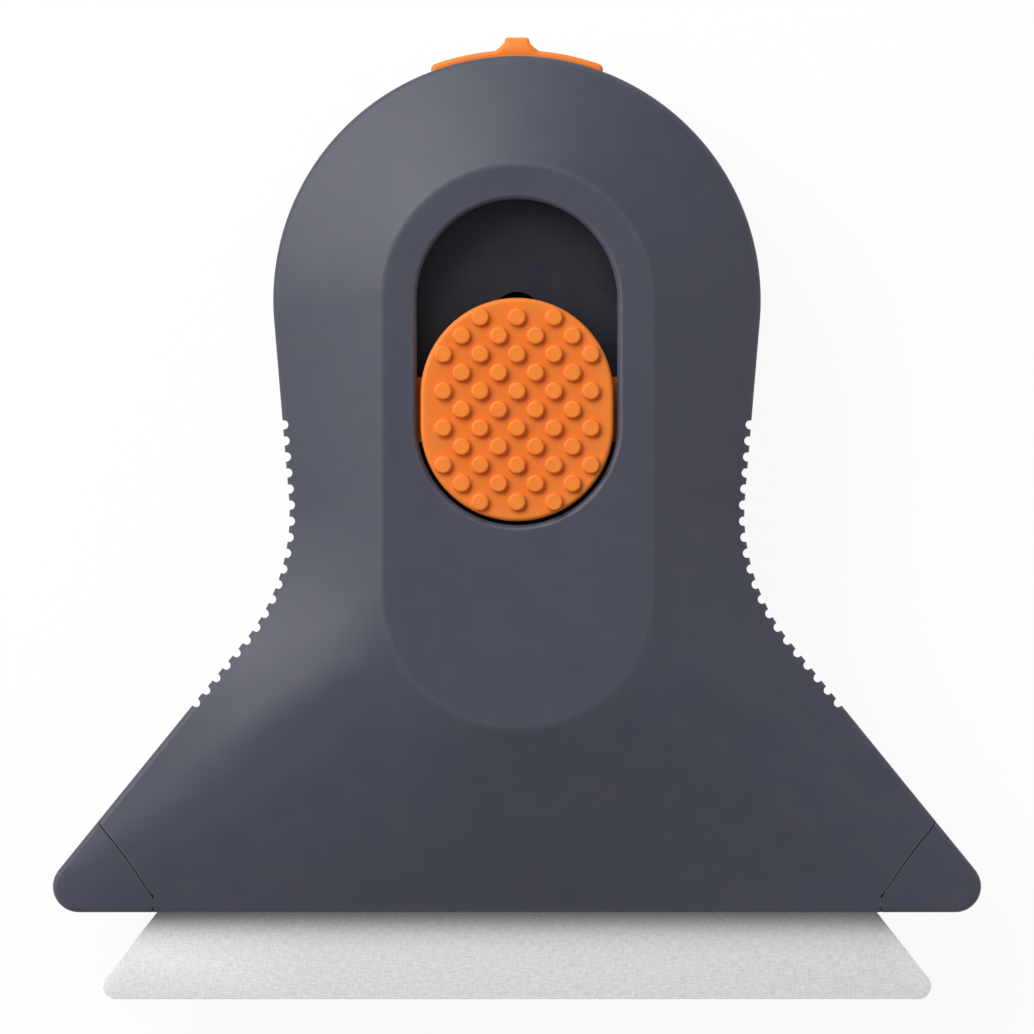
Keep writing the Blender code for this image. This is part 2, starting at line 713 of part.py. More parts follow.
def build_yoke():
    """The bar under the pad, with legs round the track plate and feet on the carrier."""
    low, high = PAD_MIDDLE - YOKE_HALF_HEIGHT, PAD_MIDDLE + YOKE_HALF_HEIGHT
    right = [
        (LEG_INNER, YOKE_BOTTOM),
        (LEG_INNER, FOOT_TOP),
        (LEG_OUTER - FOOT_LENGTH, FOOT_TOP),
        (LEG_OUTER - FOOT_LENGTH, FOOT_BOTTOM),
        (LEG_OUTER, FOOT_BOTTOM),
        (LEG_OUTER, YOKE_TOP),
    ]
    left = [(-x, level) for x, level in reversed(right)]
    section = right + left
    rings = [[(x, height, level) for x, level in section] for height in (low, high)]
    yoke = loft("slide_yoke", rings)
    reach = YOKE_CENTRE_REACH
    centre = box(
        "yoke_centre",
        -YOKE_CENTRE_HALF,
        YOKE_CENTRE_HALF,
        PAD_MIDDLE - reach,
        PAD_MIDDLE + reach,
        YOKE_BOTTOM,
        YOKE_TOP,
    )
    add(yoke, centre)
    for name, mirror in SIDES:
        place = (mirror * PEG_OFFSET, PAD_MIDDLE)
        hole = PEG_RADIUS + CLEARANCE
        cut(yoke, rod(f"peg_hole_{name}", place, hole, YOKE_BOTTOM - OVERRUN, YOKE_TOP + OVERRUN))
        place = (mirror * FOOT_SCREW_X, PAD_MIDDLE)
        hole = SHANK_RADIUS + CLEARANCE
        cut(yoke, rod(f"foot_hole_{name}", place, hole, FOOT_BOTTOM - OVERRUN, FOOT_TOP + OVERRUN))
    hole = RIVET_RADIUS + CLEARANCE
    place = (0, rivet_height())
    cut(yoke, rod("rivet_hole", place, hole, YOKE_BOTTOM - OVERRUN, YOKE_TOP + OVERRUN))
    return yoke


def bump_places():
    """Staggered rows of bumps, centred on the pad."""
    places = []
    for row, count in enumerate(BUMP_ROWS):
        height = PAD_MIDDLE + (len(BUMP_ROWS) // 2 - row) * BUMP_PITCH / 2
        for column in range(count):
            places.append(((column - (count - 1) / 2) * BUMP_PITCH, height))
    return places


def build_pad():
    """The thumb pad, with its bumps and the two pegs that hold it in the yoke."""
    rings = [at_level(stadium(PAD_HALF, PAD_LOW, PAD_HIGH, 16), PAD_BOTTOM)]
    for turn in (0, math.pi / 4, math.pi / 2):
        inset = PAD_ROUND * (1 - math.cos(turn))
        level = PAD_TOP - PAD_ROUND * (1 - math.sin(turn))
        rings.append(at_level(stadium(PAD_HALF - inset, PAD_LOW, PAD_HIGH, 16), level))
    pad = loft("thumb_pad", rings)
    points, faces = [], []
    steps = 8
    for place in bump_places():
        first = len(points)
        points.extend(at_level(circle(place, BUMP_RADIUS, steps), PAD_TOP - SINK))
        points.extend(at_level(circle(place, BUMP_RADIUS - BUMP_TAPER, steps), PAD_TOP + BUMP_HEIGHT))
        for near in range(steps):
            far = (near + 1) % steps
            faces.append((first + near, first + far, first + steps + far, first + steps + near))
        faces.append(range(first, first + steps))
        faces.append(range(first + steps, first + 2 * steps))
    add(pad, piece("pad_bumps", points, faces))
    for name, mirror in SIDES:
        place = (mirror * PEG_OFFSET, PAD_MIDDLE)
        low = YOKE_BOTTOM + CLEARANCE
        add(pad, rod(f"pad_peg_{name}", place, PEG_RADIUS, low, PAD_BOTTOM + SINK, 14))
    return pad


def rivet_height():
    return PAD_MIDDLE - YOKE_CENTRE_REACH + RIVET_END_GAP


def build_detent_spring():
    """A bowed steel leaf under the yoke, with a dimple that sits in a detent hole."""
    end = YOKE_CENTRE_REACH - CLEARANCE
    flat = end - 2 * RIVET_END_GAP
    top = YOKE_BOTTOM - CLEARANCE
    run = (
        (-end, 0),
        (-flat, 0),
        (-DIMPLE_RADIUS, LEAF_BOW),
        (DIMPLE_RADIUS, LEAF_BOW),
        (flat, 0),
        (end, 0),
    )
    upper = [(PAD_MIDDLE + along, top - drop) for along, drop in run]
    lower = [(along, level - LEAF_THICKNESS) for along, level in reversed(upper)]
    leaf = bar("detent_spring", upper + lower, -LEAF_HALF_WIDTH, LEAF_HALF_WIDTH)
    under = top - LEAF_BOW - LEAF_THICKNESS
    tip = TRACK_TOP - DIMPLE_DEPTH
    profile = (
        (DIMPLE_RADIUS, under + LEAF_THICKNESS / 2),
        (DIMPLE_RADIUS, under),
        (DIMPLE_RADIUS / 2, tip),
    )
    add(leaf, turned("dimple", (0, PAD_MIDDLE), profile, 16))
    hole = RIVET_RADIUS + CLEARANCE
    place = (0, rivet_height())
    cut(leaf, rod("leaf_hole", place, hole, TRACK_TOP, top + OVERRUN, 14))
    return leaf


def build_detent_rivet():
    head = YOKE_BOTTOM - LEAF_THICKNESS - 2 * CLEARANCE
    profile = (
        (RIVET_HEAD_RADIUS, head - RIVET_HEAD_HEIGHT),
        (RIVET_HEAD_RADIUS, head),
        (RIVET_RADIUS, head),
        (RIVET_RADIUS, YOKE_TOP),
    )
    return turned("detent_rivet", (0, rivet_height()), profile, 14)


def build_carrier():
    """The plate behind the blade: wide under it, narrow between the bosses, with a head under the feet."""
    stem = EAR_X - BOSS_RADIUS - 2 * CLEARANCE
    head_low = PAD_MIDDLE - YOKE_HALF_HEIGHT
    head_high = PAD_MIDDLE + YOKE_HALF_HEIGHT
    right = [
        (CARRIER_HALF, CARRIER_LOW),
        (CARRIER_HALF, CARRIER_SHOULDER),
        (stem, CARRIER_NECK),
        (stem, head_low - CLEARANCE),
        (LEG_OUTER, head_low),
        (LEG_OUTER, head_high),
    ]
    left = [(-x, height) for x, height in reversed(right)]
    carrier = plate("blade_carrier", right + left, CARRIER_BOTTOM, CARRIER_TOP)
    for name, mirror in SIDES:
        place = (mirror * BLADE_PEG_X, BLADE_PEG_HEIGHT)
        top = BLADE_THICKNESS / 2 + BLADE_PEG_RISE
        add(carrier, rod(f"blade_peg_{name}", place, BLADE_PEG_RADIUS, CARRIER_TOP - SINK, top))
        place = (mirror * FOOT_SCREW_X, PAD_MIDDLE)
        hole = SHANK_RADIUS + CLEARANCE
        low, high = CARRIER_BOTTOM - OVERRUN, CARRIER_TOP + OVERRUN
        cut(carrier, rod(f"carrier_hole_{name}", place, hole, low, high))
    return carrier


def build_yoke_screw(name, mirror):
    head = CARRIER_BOTTOM - CLEARANCE - HEAD_HEIGHT
    length = FOOT_TOP - CARRIER_BOTTOM
    return screw(f"{name}_yoke_screw", (mirror * FOOT_SCREW_X, PAD_MIDDLE), head, 1, length)


def build_blade():
    """A thin blade, wide at its edge, with small round corners and two holes for the carrier's pegs."""
    slope = math.tan(BLADE_TILT)
    turn = math.pi / 2 + BLADE_TILT
    corner_x = BLADE_HALF - BLADE_CORNER
    corner = arc((corner_x, BLADE_CORNER - BLADE_OUT), BLADE_CORNER, -math.pi / 2, turn - math.pi / 2, 6)
    foot = corner[-1]
    top_half = foot[0] - (BLADE_TOP - foot[1]) * slope
    right = [*(tuple(point) for point in corner), (top_half, BLADE_TOP)]
    left = [(-x, height) for x, height in reversed(right)]
    half = BLADE_THICKNESS / 2
    blade = plate("blade", right + left, -half, half)
    for name, mirror in SIDES:
        place = (mirror * BLADE_PEG_X, BLADE_PEG_HEIGHT)
        hole = BLADE_PEG_RADIUS + CLEARANCE
        cut(blade, rod(f"blade_hole_{name}", place, hole, -half - OVERRUN, half + OVERRUN))
    return blade


def build_latch():
    """The crown strap with its nib, and the lug that turns on the latch pin."""
    centre = (0, DOME_HEIGHT)
    reach = math.asin(STRAP_HALF / STRAP_OUTER)
    bevel = STRAP_END_BEVEL / STRAP_OUTER
    base = math.asin(NIB_BASE_HALF / STRAP_OUTER)
    start, end = math.pi / 2 - reach, math.pi / 2 + reach
    inner = arc(centre, STRAP_INNER, end, start, 10)
    right = arc(centre, STRAP_OUTER, start + bevel, math.pi / 2 - base, 5)
    flare = NIB_BASE_HALF - NIB_TOP_HALF
    foot = right[-1]
    concave = arc((foot[0], foot[1] + flare), flare, -math.pi / 2, -math.pi, 4)[1:]
    nib = [(NIB_TOP_HALF, NIB_TOP)]
    outer = [*right, *concave, *nib]
    mirrored = [(-x, height) for x, height in reversed(outer)]
    ends = arc(centre, STRAP_OUTER - STRAP_END_BEVEL, start, end, 1)
    outline = np.array([*inner, ends[0], *outer, *mirrored, ends[1]])
    latch = plate("latch", outline, -STRAP_BOTTOM, STRAP_TOP)
    axis = (LATCH_PIN_HEIGHT, -LATCH_PIN_DEPTH)
    neck_top = DOME_HEIGHT + STRAP_INNER + SINK
    barrel = arc(axis, LUG_RADIUS, math.pi / 2, 3 * math.pi / 2, 10)
    outline = [
        *barrel,
        (neck_top, -LATCH_PIN_DEPTH - LUG_RADIUS + SINK),
        (neck_top, -LATCH_PIN_DEPTH + LUG_RADIUS),
    ]
    add(latch, bar("latch_lug", outline, -LUG_HALF, LUG_HALF))
    hole = LATCH_PIN_RADIUS + CLEARANCE
    cut(latch, cross_rod("lug_hole", axis, hole, -LUG_HALF - OVERRUN, LUG_HALF + OVERRUN))
    return latch


def build_latch_pin():
    axis = (LATCH_PIN_HEIGHT, -LATCH_PIN_DEPTH)
    return cross_rod("latch_pin", axis, LATCH_PIN_RADIUS, *latch_pin_ends(), 14)


def build_latch_spring():
    """A small torsion spring round the latch pin, with a leg to the strap and a leg to the crown wall."""
    radius = LATCH_PIN_RADIUS + CLEARANCE + SPRING_WIRE
    start = LUG_HALF + CLEARANCE + SPRING_WIRE
    steps = 12
    turns = np.arange(round(SPRING_TURNS * steps) + 1) / steps
    angles = turns * math.tau
    coil = np.column_stack(
        (
            start + SPRING_PITCH * turns,
            LATCH_PIN_HEIGHT + radius * np.cos(angles),
            -LATCH_PIN_DEPTH + radius * np.sin(angles),
        )
    )
    first, last = coil[0], coil[-1]
    leg = np.array((0, 0, SPRING_LEG))
    rear = np.array((0, SPRING_LEG / 2, 0))
    points = np.concatenate(([first - leg / 2], coil, [last + rear]))
    curve = bpy.data.curves.new("latch_spring", "CURVE")
    curve.dimensions = "3D"
    curve.bevel_depth = SPRING_WIRE
    curve.bevel_resolution = 1
    curve.use_fill_caps = True
    spline = curve.splines.new("POLY")
    spline.points.add(len(points) - 1)
    for point, place in zip(spline.points, points):
        point.co = (*place, 1)
    spring = bpy.data.objects.new("latch_spring", curve)
    bpy.context.scene.collection.objects.link(spring)
    return spring


def empty(name, place, parent=None):
    made = bpy.data.objects.new(name, None)
    made.empty_display_size = WALL
    made.parent = parent
    made.location = place
    bpy.context.scene.collection.objects.link(made)
    return made


def carry(holder, origin, pieces):
    """Hangs pieces and their cutters on a holder at origin, and leaves them where they were drawn."""
    for part in pieces:
        part.parent = holder
        part.location = -Vector(origin)
        tools = [change.object for change in part.modifiers if change.type == "BOOLEAN"]
        carry(holder, origin, tools)


def paint(pieces, finish):
    for part in pieces:
        part.data.materials.append(finish)


def build():
    clear_scene()
    back = build_back_shell()
    cover = build_front_cover()
    guards = [build_guard(name, mirror) for name, mirror in SIDES]
    track = build_track_plate()
    yoke = build_yoke()
    pad = build_pad()
    carrier = build_carrier()
    leaf = build_detent_spring()
    rivet = build_detent_rivet()
    blade = build_blade()
    latch = build_latch()
    latch_pin = build_latch_pin()
    spring = build_latch_spring()
    hinge_pins = [build_hinge_pin(name, mirror) for name, mirror in SIDES]
    case_screws = [build_guard_screw(name, mirror) for name, mirror in SIDES]
    for end, height in (("low", EAR_LOW), ("high", EAR_HIGH)):
        case_screws += [build_track_screw(end, height, name, mirror) for name, mirror in SIDES]
    yoke_screws = [build_yoke_screw(name, mirror) for name, mirror in SIDES]

    paint([back, cover, *guards], material("shell_plastic", (0.075, 0.078, 0.105), 0.55))
    paint([track], material("track_plastic", (0.030, 0.030, 0.038), 0.60))
    paint([yoke, pad, latch], material("orange_plastic", (0.82, 0.19, 0.025), 0.45))
    paint([carrier], material("carrier_plastic", (0.10, 0.10, 0.11), 0.60))
    paint([blade], material("ceramic", (0.80, 0.80, 0.79), 0.35))
    steel = [leaf, rivet, latch_pin, spring, *hinge_pins, *case_screws, *yoke_screws]
    paint(steel, material("steel", (0.55, 0.56, 0.58), 0.30, 1.0))

    frame = empty("case_frame", (0, FRAME_SHIFT, HALF_THICKNESS))
    slide_at = (0, PAD_MIDDLE, 0)
    hinge_at = (0, HINGE_HEIGHT, HINGE_LEVEL)
    latch_at = (0, LATCH_PIN_HEIGHT, -LATCH_PIN_DEPTH)
    carry(frame, (0, 0, 0), [back, *guards, track, latch_pin, *hinge_pins, *case_screws])
    slide = empty("blade_slide", slide_at, frame)
    carry(slide, slide_at, [yoke, pad, carrier, leaf, rivet, blade, *yoke_screws])
    carry(empty("cover_hinge", hinge_at, frame), hinge_at, [cover])
    carry(empty("latch_hinge", latch_at, frame), latch_at, [latch, spring])


build()
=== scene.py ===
"""Dresses the hand scraper's frame: its two shells, corner guards, thumb pad, crown latch, blade and screws.

Shapes are worked out in the case's own axes, X across, Y from the mouth line up and Z out of the front with
zero on the parting plane, and are then set on the frame. All lengths are in metres.
"""

import math

import bmesh
import bpy
import numpy as np
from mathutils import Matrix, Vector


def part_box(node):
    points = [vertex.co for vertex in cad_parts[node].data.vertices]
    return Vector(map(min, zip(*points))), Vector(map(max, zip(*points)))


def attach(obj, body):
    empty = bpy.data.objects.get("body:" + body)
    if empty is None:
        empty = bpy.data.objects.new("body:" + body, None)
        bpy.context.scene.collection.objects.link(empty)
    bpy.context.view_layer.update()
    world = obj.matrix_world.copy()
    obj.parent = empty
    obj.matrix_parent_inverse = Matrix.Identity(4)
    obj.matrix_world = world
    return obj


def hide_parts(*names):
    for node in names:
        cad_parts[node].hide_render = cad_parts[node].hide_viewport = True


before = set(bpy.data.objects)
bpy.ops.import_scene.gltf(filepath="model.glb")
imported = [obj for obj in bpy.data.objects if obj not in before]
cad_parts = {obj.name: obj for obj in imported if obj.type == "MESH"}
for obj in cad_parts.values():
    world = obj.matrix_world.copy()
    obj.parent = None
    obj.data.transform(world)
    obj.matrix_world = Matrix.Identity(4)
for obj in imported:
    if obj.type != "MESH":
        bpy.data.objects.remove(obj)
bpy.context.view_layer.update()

bl_info = {
    "name": "Hand scraper",
    "version": (1, 0, 0),
    "blender": (4, 5, 0),
    "location": "View3D > Sidebar > Scraper",
    "description": "Builds the visible pieces, finishes and stage of a palm-sized scraper",
    "category": "Object",
}

# Case outline and section, as the frame has them
DOME_RADIUS = 0.0300
DOME_HEIGHT = 0.0754
SIDE_TAPER = math.radians(4.8)
WAIST_RADIUS = 0.0250
FLANK_TILT = math.radians(39.1)
MOUTH_HALF = 0.06067
CORNER_RADIUS = 0.0032
HALF_THICKNESS = 0.0125
WALL = 0.0022
RIM_AT_DOME = 0.0065
RIM_AT_MOUTH = 0.0038
RIM_ROUND = 0.0010
RIM_TURN = math.radians(60)
BULGE_SHARE = 0.12
INNER_RIM_SHARE = 0.60
LAND_HALF = 0.0167
LAND_LOW = 0.0395
EASE_REACH = 0.045
EASE_START = 0.0450
EASE_TOP = 0.0420
EASE_FULL = 0.0120
EASE_STEP = 0.00025
EASE_LEAST = 0.0005
EASE_RISE = 0.75
EASE_FALL = 0.25
APRON = 0.020
APRON_INNER = 0.010
APRON_OUTER = 0.050
CLEARANCE = 0.0003
SEAM_GAP = 0.00020
SEAM_SPARE = 0.001
UPRIGHT_SHARE = 0.35
EDGE_STEP = 0.00075
LOWER_EDGE_STEP = 0.0008
STEP_NUDGE = 2e-6

# Grip notches
NOTCH_RADIUS = 0.000565
NOTCH_INSET = 0.00012
NOTCH_PITCH = 0.00198
NOTCH_TOP = 0.0600
NOTCH_COUNT = 20

# Thumb slot and pad
SLOT_HALF = 0.0123
SLOT_LOW = 0.0600
SLOT_CHAMFER = 0.0005
PAD_HALF = 0.01185
PAD_LOW = 0.0600
PAD_HIGH = 0.06374
PAD_BOTTOM = 0.0103
PAD_TOP = 0.0129
BUMP_RADIUS = 0.0011
BUMP_HEIGHT = 0.0006
BUMP_PITCH = 0.00454
BUMP_ROWS = np.array((3, 4, 5, 4, 5, 4, 5, 4, 5, 4, 3))
PEG_RADIUS = 0.0012
PEG_OFFSET = 0.0060
PEG_LOW = 0.0087
# Rings of the pad's face, a share of its size and a rubbed weight: the lighter border is a painted
# highlight, the darker middle a painted shade
PAD_RINGS = ((0.92, 0.4), (0.85, 0.2), (0.7, 0), (0.5, 0), (0.3, 0), (0.1, 0))
BUMP_STEPS = 28
# Rubbed weight up each bump's rows, a painted highlight on the bump tops
BUMP_TOP_HIGHLIGHT = (0.0, 0.3, 0.5, 0.8, 1.0, 1.0, 1.0, 1.0)

# Blade
TRAVEL = 0.0114
BLADE_OUT = 0.0107
BLADE_HALF = 0.0510
BLADE_TOP = 0.0193
BLADE_TILT = math.radians(38.0)
BLADE_THICKNESS = 0.0010
BLADE_CORNER = 0.0016
BLADE_PEG_RADIUS = 0.0020
BLADE_PEG_X = 0.0220
BLADE_PEG_HEIGHT = 0.0140
GAP_HALF = BLADE_THICKNESS / 2 + CLEARANCE

# Hinge, seams and guards
LIP_RADIUS = 0.0015
HINGE_HEIGHT = LIP_RADIUS
HINGE_LEVEL = GAP_HALF + LIP_RADIUS
SEAM_X = 0.0448
SEAM_END_X = 0.0515
SEAM_END_HEIGHT = 0.0110
GUARD_SCREW_X = 0.0524
GUARD_SCREW_HEIGHT = 0.0042
GUARD_BOSS_RADIUS = 0.0023
COUNTERBORE_DEPTH = 0.0026

# Crown latch
STRAP_OUTER = 0.03075
STRAP_INNER = 0.0290
STRAP_HALF = 0.0108
STRAP_TOP = 0.0046
STRAP_BOTTOM = 0.0042
NIB_TOP = 0.1077
NIB_TOP_HALF = 0.0015
NIB_BASE_HALF = 0.00275
POCKET_RADIUS = 0.0282
POCKET_HALF = STRAP_HALF + CLEARANCE
POCKET_TOP = STRAP_TOP + CLEARANCE
POCKET_BOTTOM = STRAP_BOTTOM + 0.0008
LUG_HALF = 0.0030
LUG_RADIUS = 0.0016
LUG_ROOM_LEFT = 0.0033
LUG_ROOM_RIGHT = 0.00576
PIN_HEIGHT = 0.1016
PIN_DEPTH = 0.0030
PIN_RADIUS = 0.00075
CROWN_WALL = 0.0034
CROWN_HALF = 0.0128
NIB_CURVE = 1.6
NIB_SLOPE = 0.5
# How quickly a painted highlight brightens the nib towards its tip, and where it starts
NIB_HIGHLIGHT_GAIN = 4
NIB_HIGHLIGHT_START = 1.2

# Pieces inside the case
RAIL_X = 0.0070
RAIL_THICKNESS = 0.0012
RAIL_LOW = 0.0060
RAIL_HIGH = 0.0880
RAIL_TOP = -0.0027
BOSS_TOP = 0.0046
BOSS_RADIUS = 0.0024
EAR_X = 0.0170
EAR_LOW = 0.0500
EAR_HIGH = 0.0840
HOLD_RIB_X = 0.0150
HOLD_RIB_LOW = 0.0060
HOLD_RIB_HIGH = 0.0220

# Screws
SHANK_RADIUS = 0.0008
HEAD_RADIUS = 0.0016
HEAD_HEIGHT = 0.0011
GUARD_HEAD_LEVEL = -0.0040
TRACK_HEAD_LEVEL = 0.0079
YOKE_HEAD_LEVEL = -0.0038
YOKE_SCREW_X = 0.0114
PAD_MIDDLE = (PAD_LOW + PAD_HIGH) / 2
GUARD_SHANK = 0.0051
YOKE_SHANK = 0.0041
TRACK_SHANK = 0.0076
RECESS_ARM = 0.17
RECESS_REACH = 0.62
HEAD_CROWN = 0.12
HEAD_EDGE = 0.12
HEAD_SHARES = np.concatenate((np.linspace(0.02, 0.7, 22), np.linspace(0.75, 0.94, 5)))

# Stage
FLOOR_DROP = 0.00002
FLOOR_REACH = 3.0
FLOOR_GLOW = 1.03
FLOOR_SHOWN = 0.90
EVEN_LIGHT = 0.24
CAMERA_DISTANCE = 4.0
CAMERA_SHIFT = 0.00017
VIEW_WIDTH = 0.1274
LAMPS = {
    "key_softbox": ((-0.39, 0.39, 0.50), (0.84, 0.40), 6.6),
    "fill_softbox": ((0.60, 0.00, 0.36), (0.40, 0.40), 0.35),
}

# Colours of dust on dark plastic and on the pale blade, and of steel rubbed bright
DUST = (0.45, 0.44, 0.42)
PALE_DUST = (0.60, 0.59, 0.57)
BRIGHT_STEEL = (0.72, 0.73, 0.75)

# Roughness, grain per metre, reflection and depth of the grain of each plastic
PLASTICS = {
    "shell plastic": (0.50, 5200.0, 0.45, 0.00001),
    "track plastic": (0.50, 4200.0, 0.30, 0.00001),
    "orange plastic": (0.45, 6500.0, 0.30, 0.000005),
    "carrier plastic": (0.55, 4200.0, 0.35, 0.00001),
}

# Shared by all pieces
FRAME_SHIFT = (BLADE_OUT - NIB_TOP) / 2
SHARP_TURN = math.radians(32)
HALVINGS = 40
SIDES = (("left", -1), ("right", 1))
SLOT_FINISHES = {
    "shell": "shell plastic",
    "orange": "orange plastic",
    "blade": "blade ceramic",
    "steel": "drawn steel",
}


def from_hex(code):
    """A display colour written as six hexadecimal digits, as linear red, green and blue."""
    shares = np.array([int(code[at : at + 2], 16) for at in (0, 2, 4)]) / 255
    return tuple(np.where(shares <= 0.04045, shares / 12.92, ((shares + 0.055) / 1.055) ** 2.4))


def length(name, description, default):
    return bpy.props.FloatProperty(
        name=name,
        description=description,
        default=default,
        min=0.0,
        precision=5,
        subtype="DISTANCE",
        unit="LENGTH",
    )


def colour(name, description, code):
    return bpy.props.FloatVectorProperty(
        name=name,
        description=description,
        default=from_hex(code),
        size=3,
        min=0.0,
        max=1.0,
        subtype="COLOR",
    )


def fraction(name, description, default):
    return bpy.props.FloatProperty(
        name=name, description=description, default=default, min=0.0, max=1.0, subtype="FACTOR"
    )


class ScraperSizes(bpy.types.PropertyGroup):
    edge_soft: length("Edge softness", "Width of the soft edge where mouldings end", 0.00007)
    land_soft: length("Land softness", "Width of the soft edge round the flat land", 0.00014)
    rail_soft: length("Rib softness", "Width of the soft edge on ribs, rails and bosses", 0.00015)
    pad_round: length("Pad round", "Radius of the thumb pad's upper edge", 0.0005)
    pad_dish: length("Pad dish", "How far the thumb pad sinks in its middle", 0.00018)
    bump_round: length("Bump round", "Radius of each bump's upper edge", 0.00028)
    strap_round: length("Strap round", "Radius of the latch strap's outer edge", 0.00050)
    strap_end: length("Strap end", "Radius of the latch strap's ends", 0.00075)
    blade_soft: length("Blade edge", "Width of the ground edge all round the blade", 0.00006)
    recess_depth: length("Recess depth", "Depth of the cross in each screw head", 0.00055)


class ScraperFinish(bpy.types.PropertyGroup):
    shell: colour("Shell", "Moulded plastic of both shells and the corner guards", "3a3c4b")
    # The rubbed slate colour also paints highlights along rims, seams, the land's edge and the slot's rim
    rubbed: colour("Rubbed shell", "Slate plastic where edges are rubbed", "676974")
    # Near-black, darker than the shell: partly the plate's own dark plastic, partly painted shade of the
    # deep slot
    floor: colour("Track", "Dark plastic plate under the thumb slot", "131322")
    orange: colour("Orange", "Plastic of the thumb pad, the slide yoke and the latch", "ea7a27")
    # The rubbed orange also paints highlights on the bump tops, the pad's edge, the strap's edge and the
    # nib's tip
    rubbed_and_highlight_orange: colour("Rubbed orange", "Orange plastic where thumbs rub it", "ff8c32")
    carrier: colour("Carrier", "Plastic plate behind the blade", "3c3c42")
    blade: colour("Blade", "Pale ceramic of the blade", "f5f6f5")
    steel: colour("Steel", "Springs, pins, rivet and screws", "b4b6ba")
    # This share sets how strongly both rubbing and painted highlights lighten the shell's edges
    wear_and_highlight: fraction("Wear", "How much the edges are rubbed lighter", 0.35)


def sizes():
    return bpy.context.scene.scraper_sizes


def finish():
    return bpy.context.scene.scraper_finish


# Meshes from arrays


def skin(rows, loop=False):
    """Points and faces of a closed surface through rows of points, each row closed on itself.

    Face (i, j) joins points j and j+1 of row i to the same points of row i+1. With loop the last row
    meets the first, and otherwise one flat face closes each end row.
    """
    rows = np.asarray(rows, float)
    index = np.arange(rows.shape[0] * rows.shape[1]).reshape(rows.shape[:2])
    near = index if loop else index[:-1]
    far = np.roll(index, -1, axis=0) if loop else index[1:]
    quads = np.stack((near, np.roll(near, -1, 1), np.roll(far, -1, 1), far), axis=-1)
    faces = quads.reshape(-1, 4).tolist()
    if not loop:
        faces += [index[0].tolist(), index[-1].tolist()]
    return rows.reshape(-1, 3), faces


def joined(parts):
    """Several surfaces as one list of points and one of faces."""
    points, faces, first = [], [], 0
    for part_points, part_faces in parts:
        points.append(part_points)
        faces += [[first + corner for corner in face] for face in part_faces]
        first += len(part_points)
    return np.concatenate(points), faces


def set_on_frame(name, surface):
    """A mesh of a surface's points and faces, moved from the case's own axes to the frame's."""
    points, faces = surface
    mesh = bpy.data.meshes.new(name)
    mesh.from_pydata(points + (0, FRAME_SHIFT, HALF_THICKNESS), [], faces)
    return mesh


def in_scene(name, data):
    """A new object that holds a mesh, a light or a camera, linked to the scene."""
    made = bpy.data.objects.new(name, data)
    bpy.context.scene.collection.objects.link(made)
    return made


def moulding(name, surface, body, node, slot_name, edge=None):
    """A piece of the object: its mesh set on the frame, faces outwards, riding on a body for a node."""
    mesh = set_on_frame(name, surface)
    # The edge attribute weights the rubbed colour: partly rubbing, partly a painted highlight along lit
    # edges
    if edge is not None:
        layer = mesh.attributes.new("edge", "FLOAT", "POINT")
        layer.data.foreach_set("value", np.asarray(edge, np.float32).ravel())
    bm = bmesh.new()
    bm.from_mesh(mesh)
    bmesh.ops.remove_doubles(bm, verts=bm.verts, dist=1e-6)
    bmesh.ops.dissolve_degenerate(bm, edges=bm.edges, dist=1e-7)
    bmesh.ops.recalc_face_normals(bm, faces=bm.faces)
    if bm.calc_volume(signed=True) < 0:
        bmesh.ops.reverse_faces(bm, faces=bm.faces)
    bm.to_mesh(mesh)
    bm.free()
    mesh.shade_smooth()
    mesh.set_sharp_from_angle(angle=SHARP_TURN)
    mesh.materials.append(finished(SLOT_FINISHES[slot_name]))
    piece = in_scene(name, mesh)
    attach(piece, body)
    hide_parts(node)
    return piece


def carve(piece, surface):
    """Cuts a closed surface out of a piece and keeps the result as its mesh."""
    mesh = set_on_frame("cutter", surface)
    bm = bmesh.new()
    bm.from_mesh(mesh)
    bmesh.ops.recalc_face_normals(bm, faces=bm.faces)
    bm.to_mesh(mesh)
    bm.free()
    cutter = in_scene("cutter", mesh)
    change = piece.modifiers.new("cut", "BOOLEAN")
    change.operation = "DIFFERENCE"
    change.solver = "EXACT"
    change.object = cutter
    graph = bpy.context.evaluated_depsgraph_get()
    done = bpy.data.meshes.new_from_object(piece.evaluated_get(graph))
    piece.modifiers.clear()
    piece.data = done
    bpy.data.objects.remove(cutter, do_unlink=True)
    done.set_sharp_from_angle(angle=SHARP_TURN)


def lifted(outline, level):
    """A flat outline as points in space at a level, one number or one a point."""
    outline = np.asarray(outline, float)
    return np.column_stack((outline, np.broadcast_to(level, len(outline))))


def arc(centre, radius, start, end, steps):
    angles = np.linspace(start, end, steps + 1)
    return np.column_stack((centre[0] + radius * np.cos(angles), centre[1] + radius * np.sin(angles)))


def inward(outline):
    """Unit normals into a closed anticlockwise outline: each is its chord turned a quarter left."""
    chord = np.roll(outline, -1, axis=0) - np.roll(outline, 1, axis=0)
    chord = np.column_stack((-chord[:, 1], chord[:, 0]))
    return chord / np.linalg.norm(chord, axis=1, keepdims=True)


def prism(outline, low, high, soft):
    """An anticlockwise outline carried upright from low to high, with quarter-round edges of radius soft.

    On each edge the inset is soft times one less the sine of the turn, and the rise is soft times one
    less its cosine.
    """
    normals = inward(outline)
    turns = np.linspace(0, math.pi / 2, 4)
    inset = soft * (1 - np.sin(turns))
    rise = soft * (1 - np.cos(turns))
    rows = [lifted(outline + normals * i, low + r) for i, r in zip(inset, rise)]
    rows += [lifted(outline + normals * i, high - r) for i, r in zip(inset[::-1], rise[::-1])]
    return skin(rows)


def circle(steps):
    """Points of a unit circle, anticlockwise."""
    angles = np.linspace(0, math.tau, steps, endpoint=False)
    return np.column_stack((np.cos(angles), np.sin(angles)))


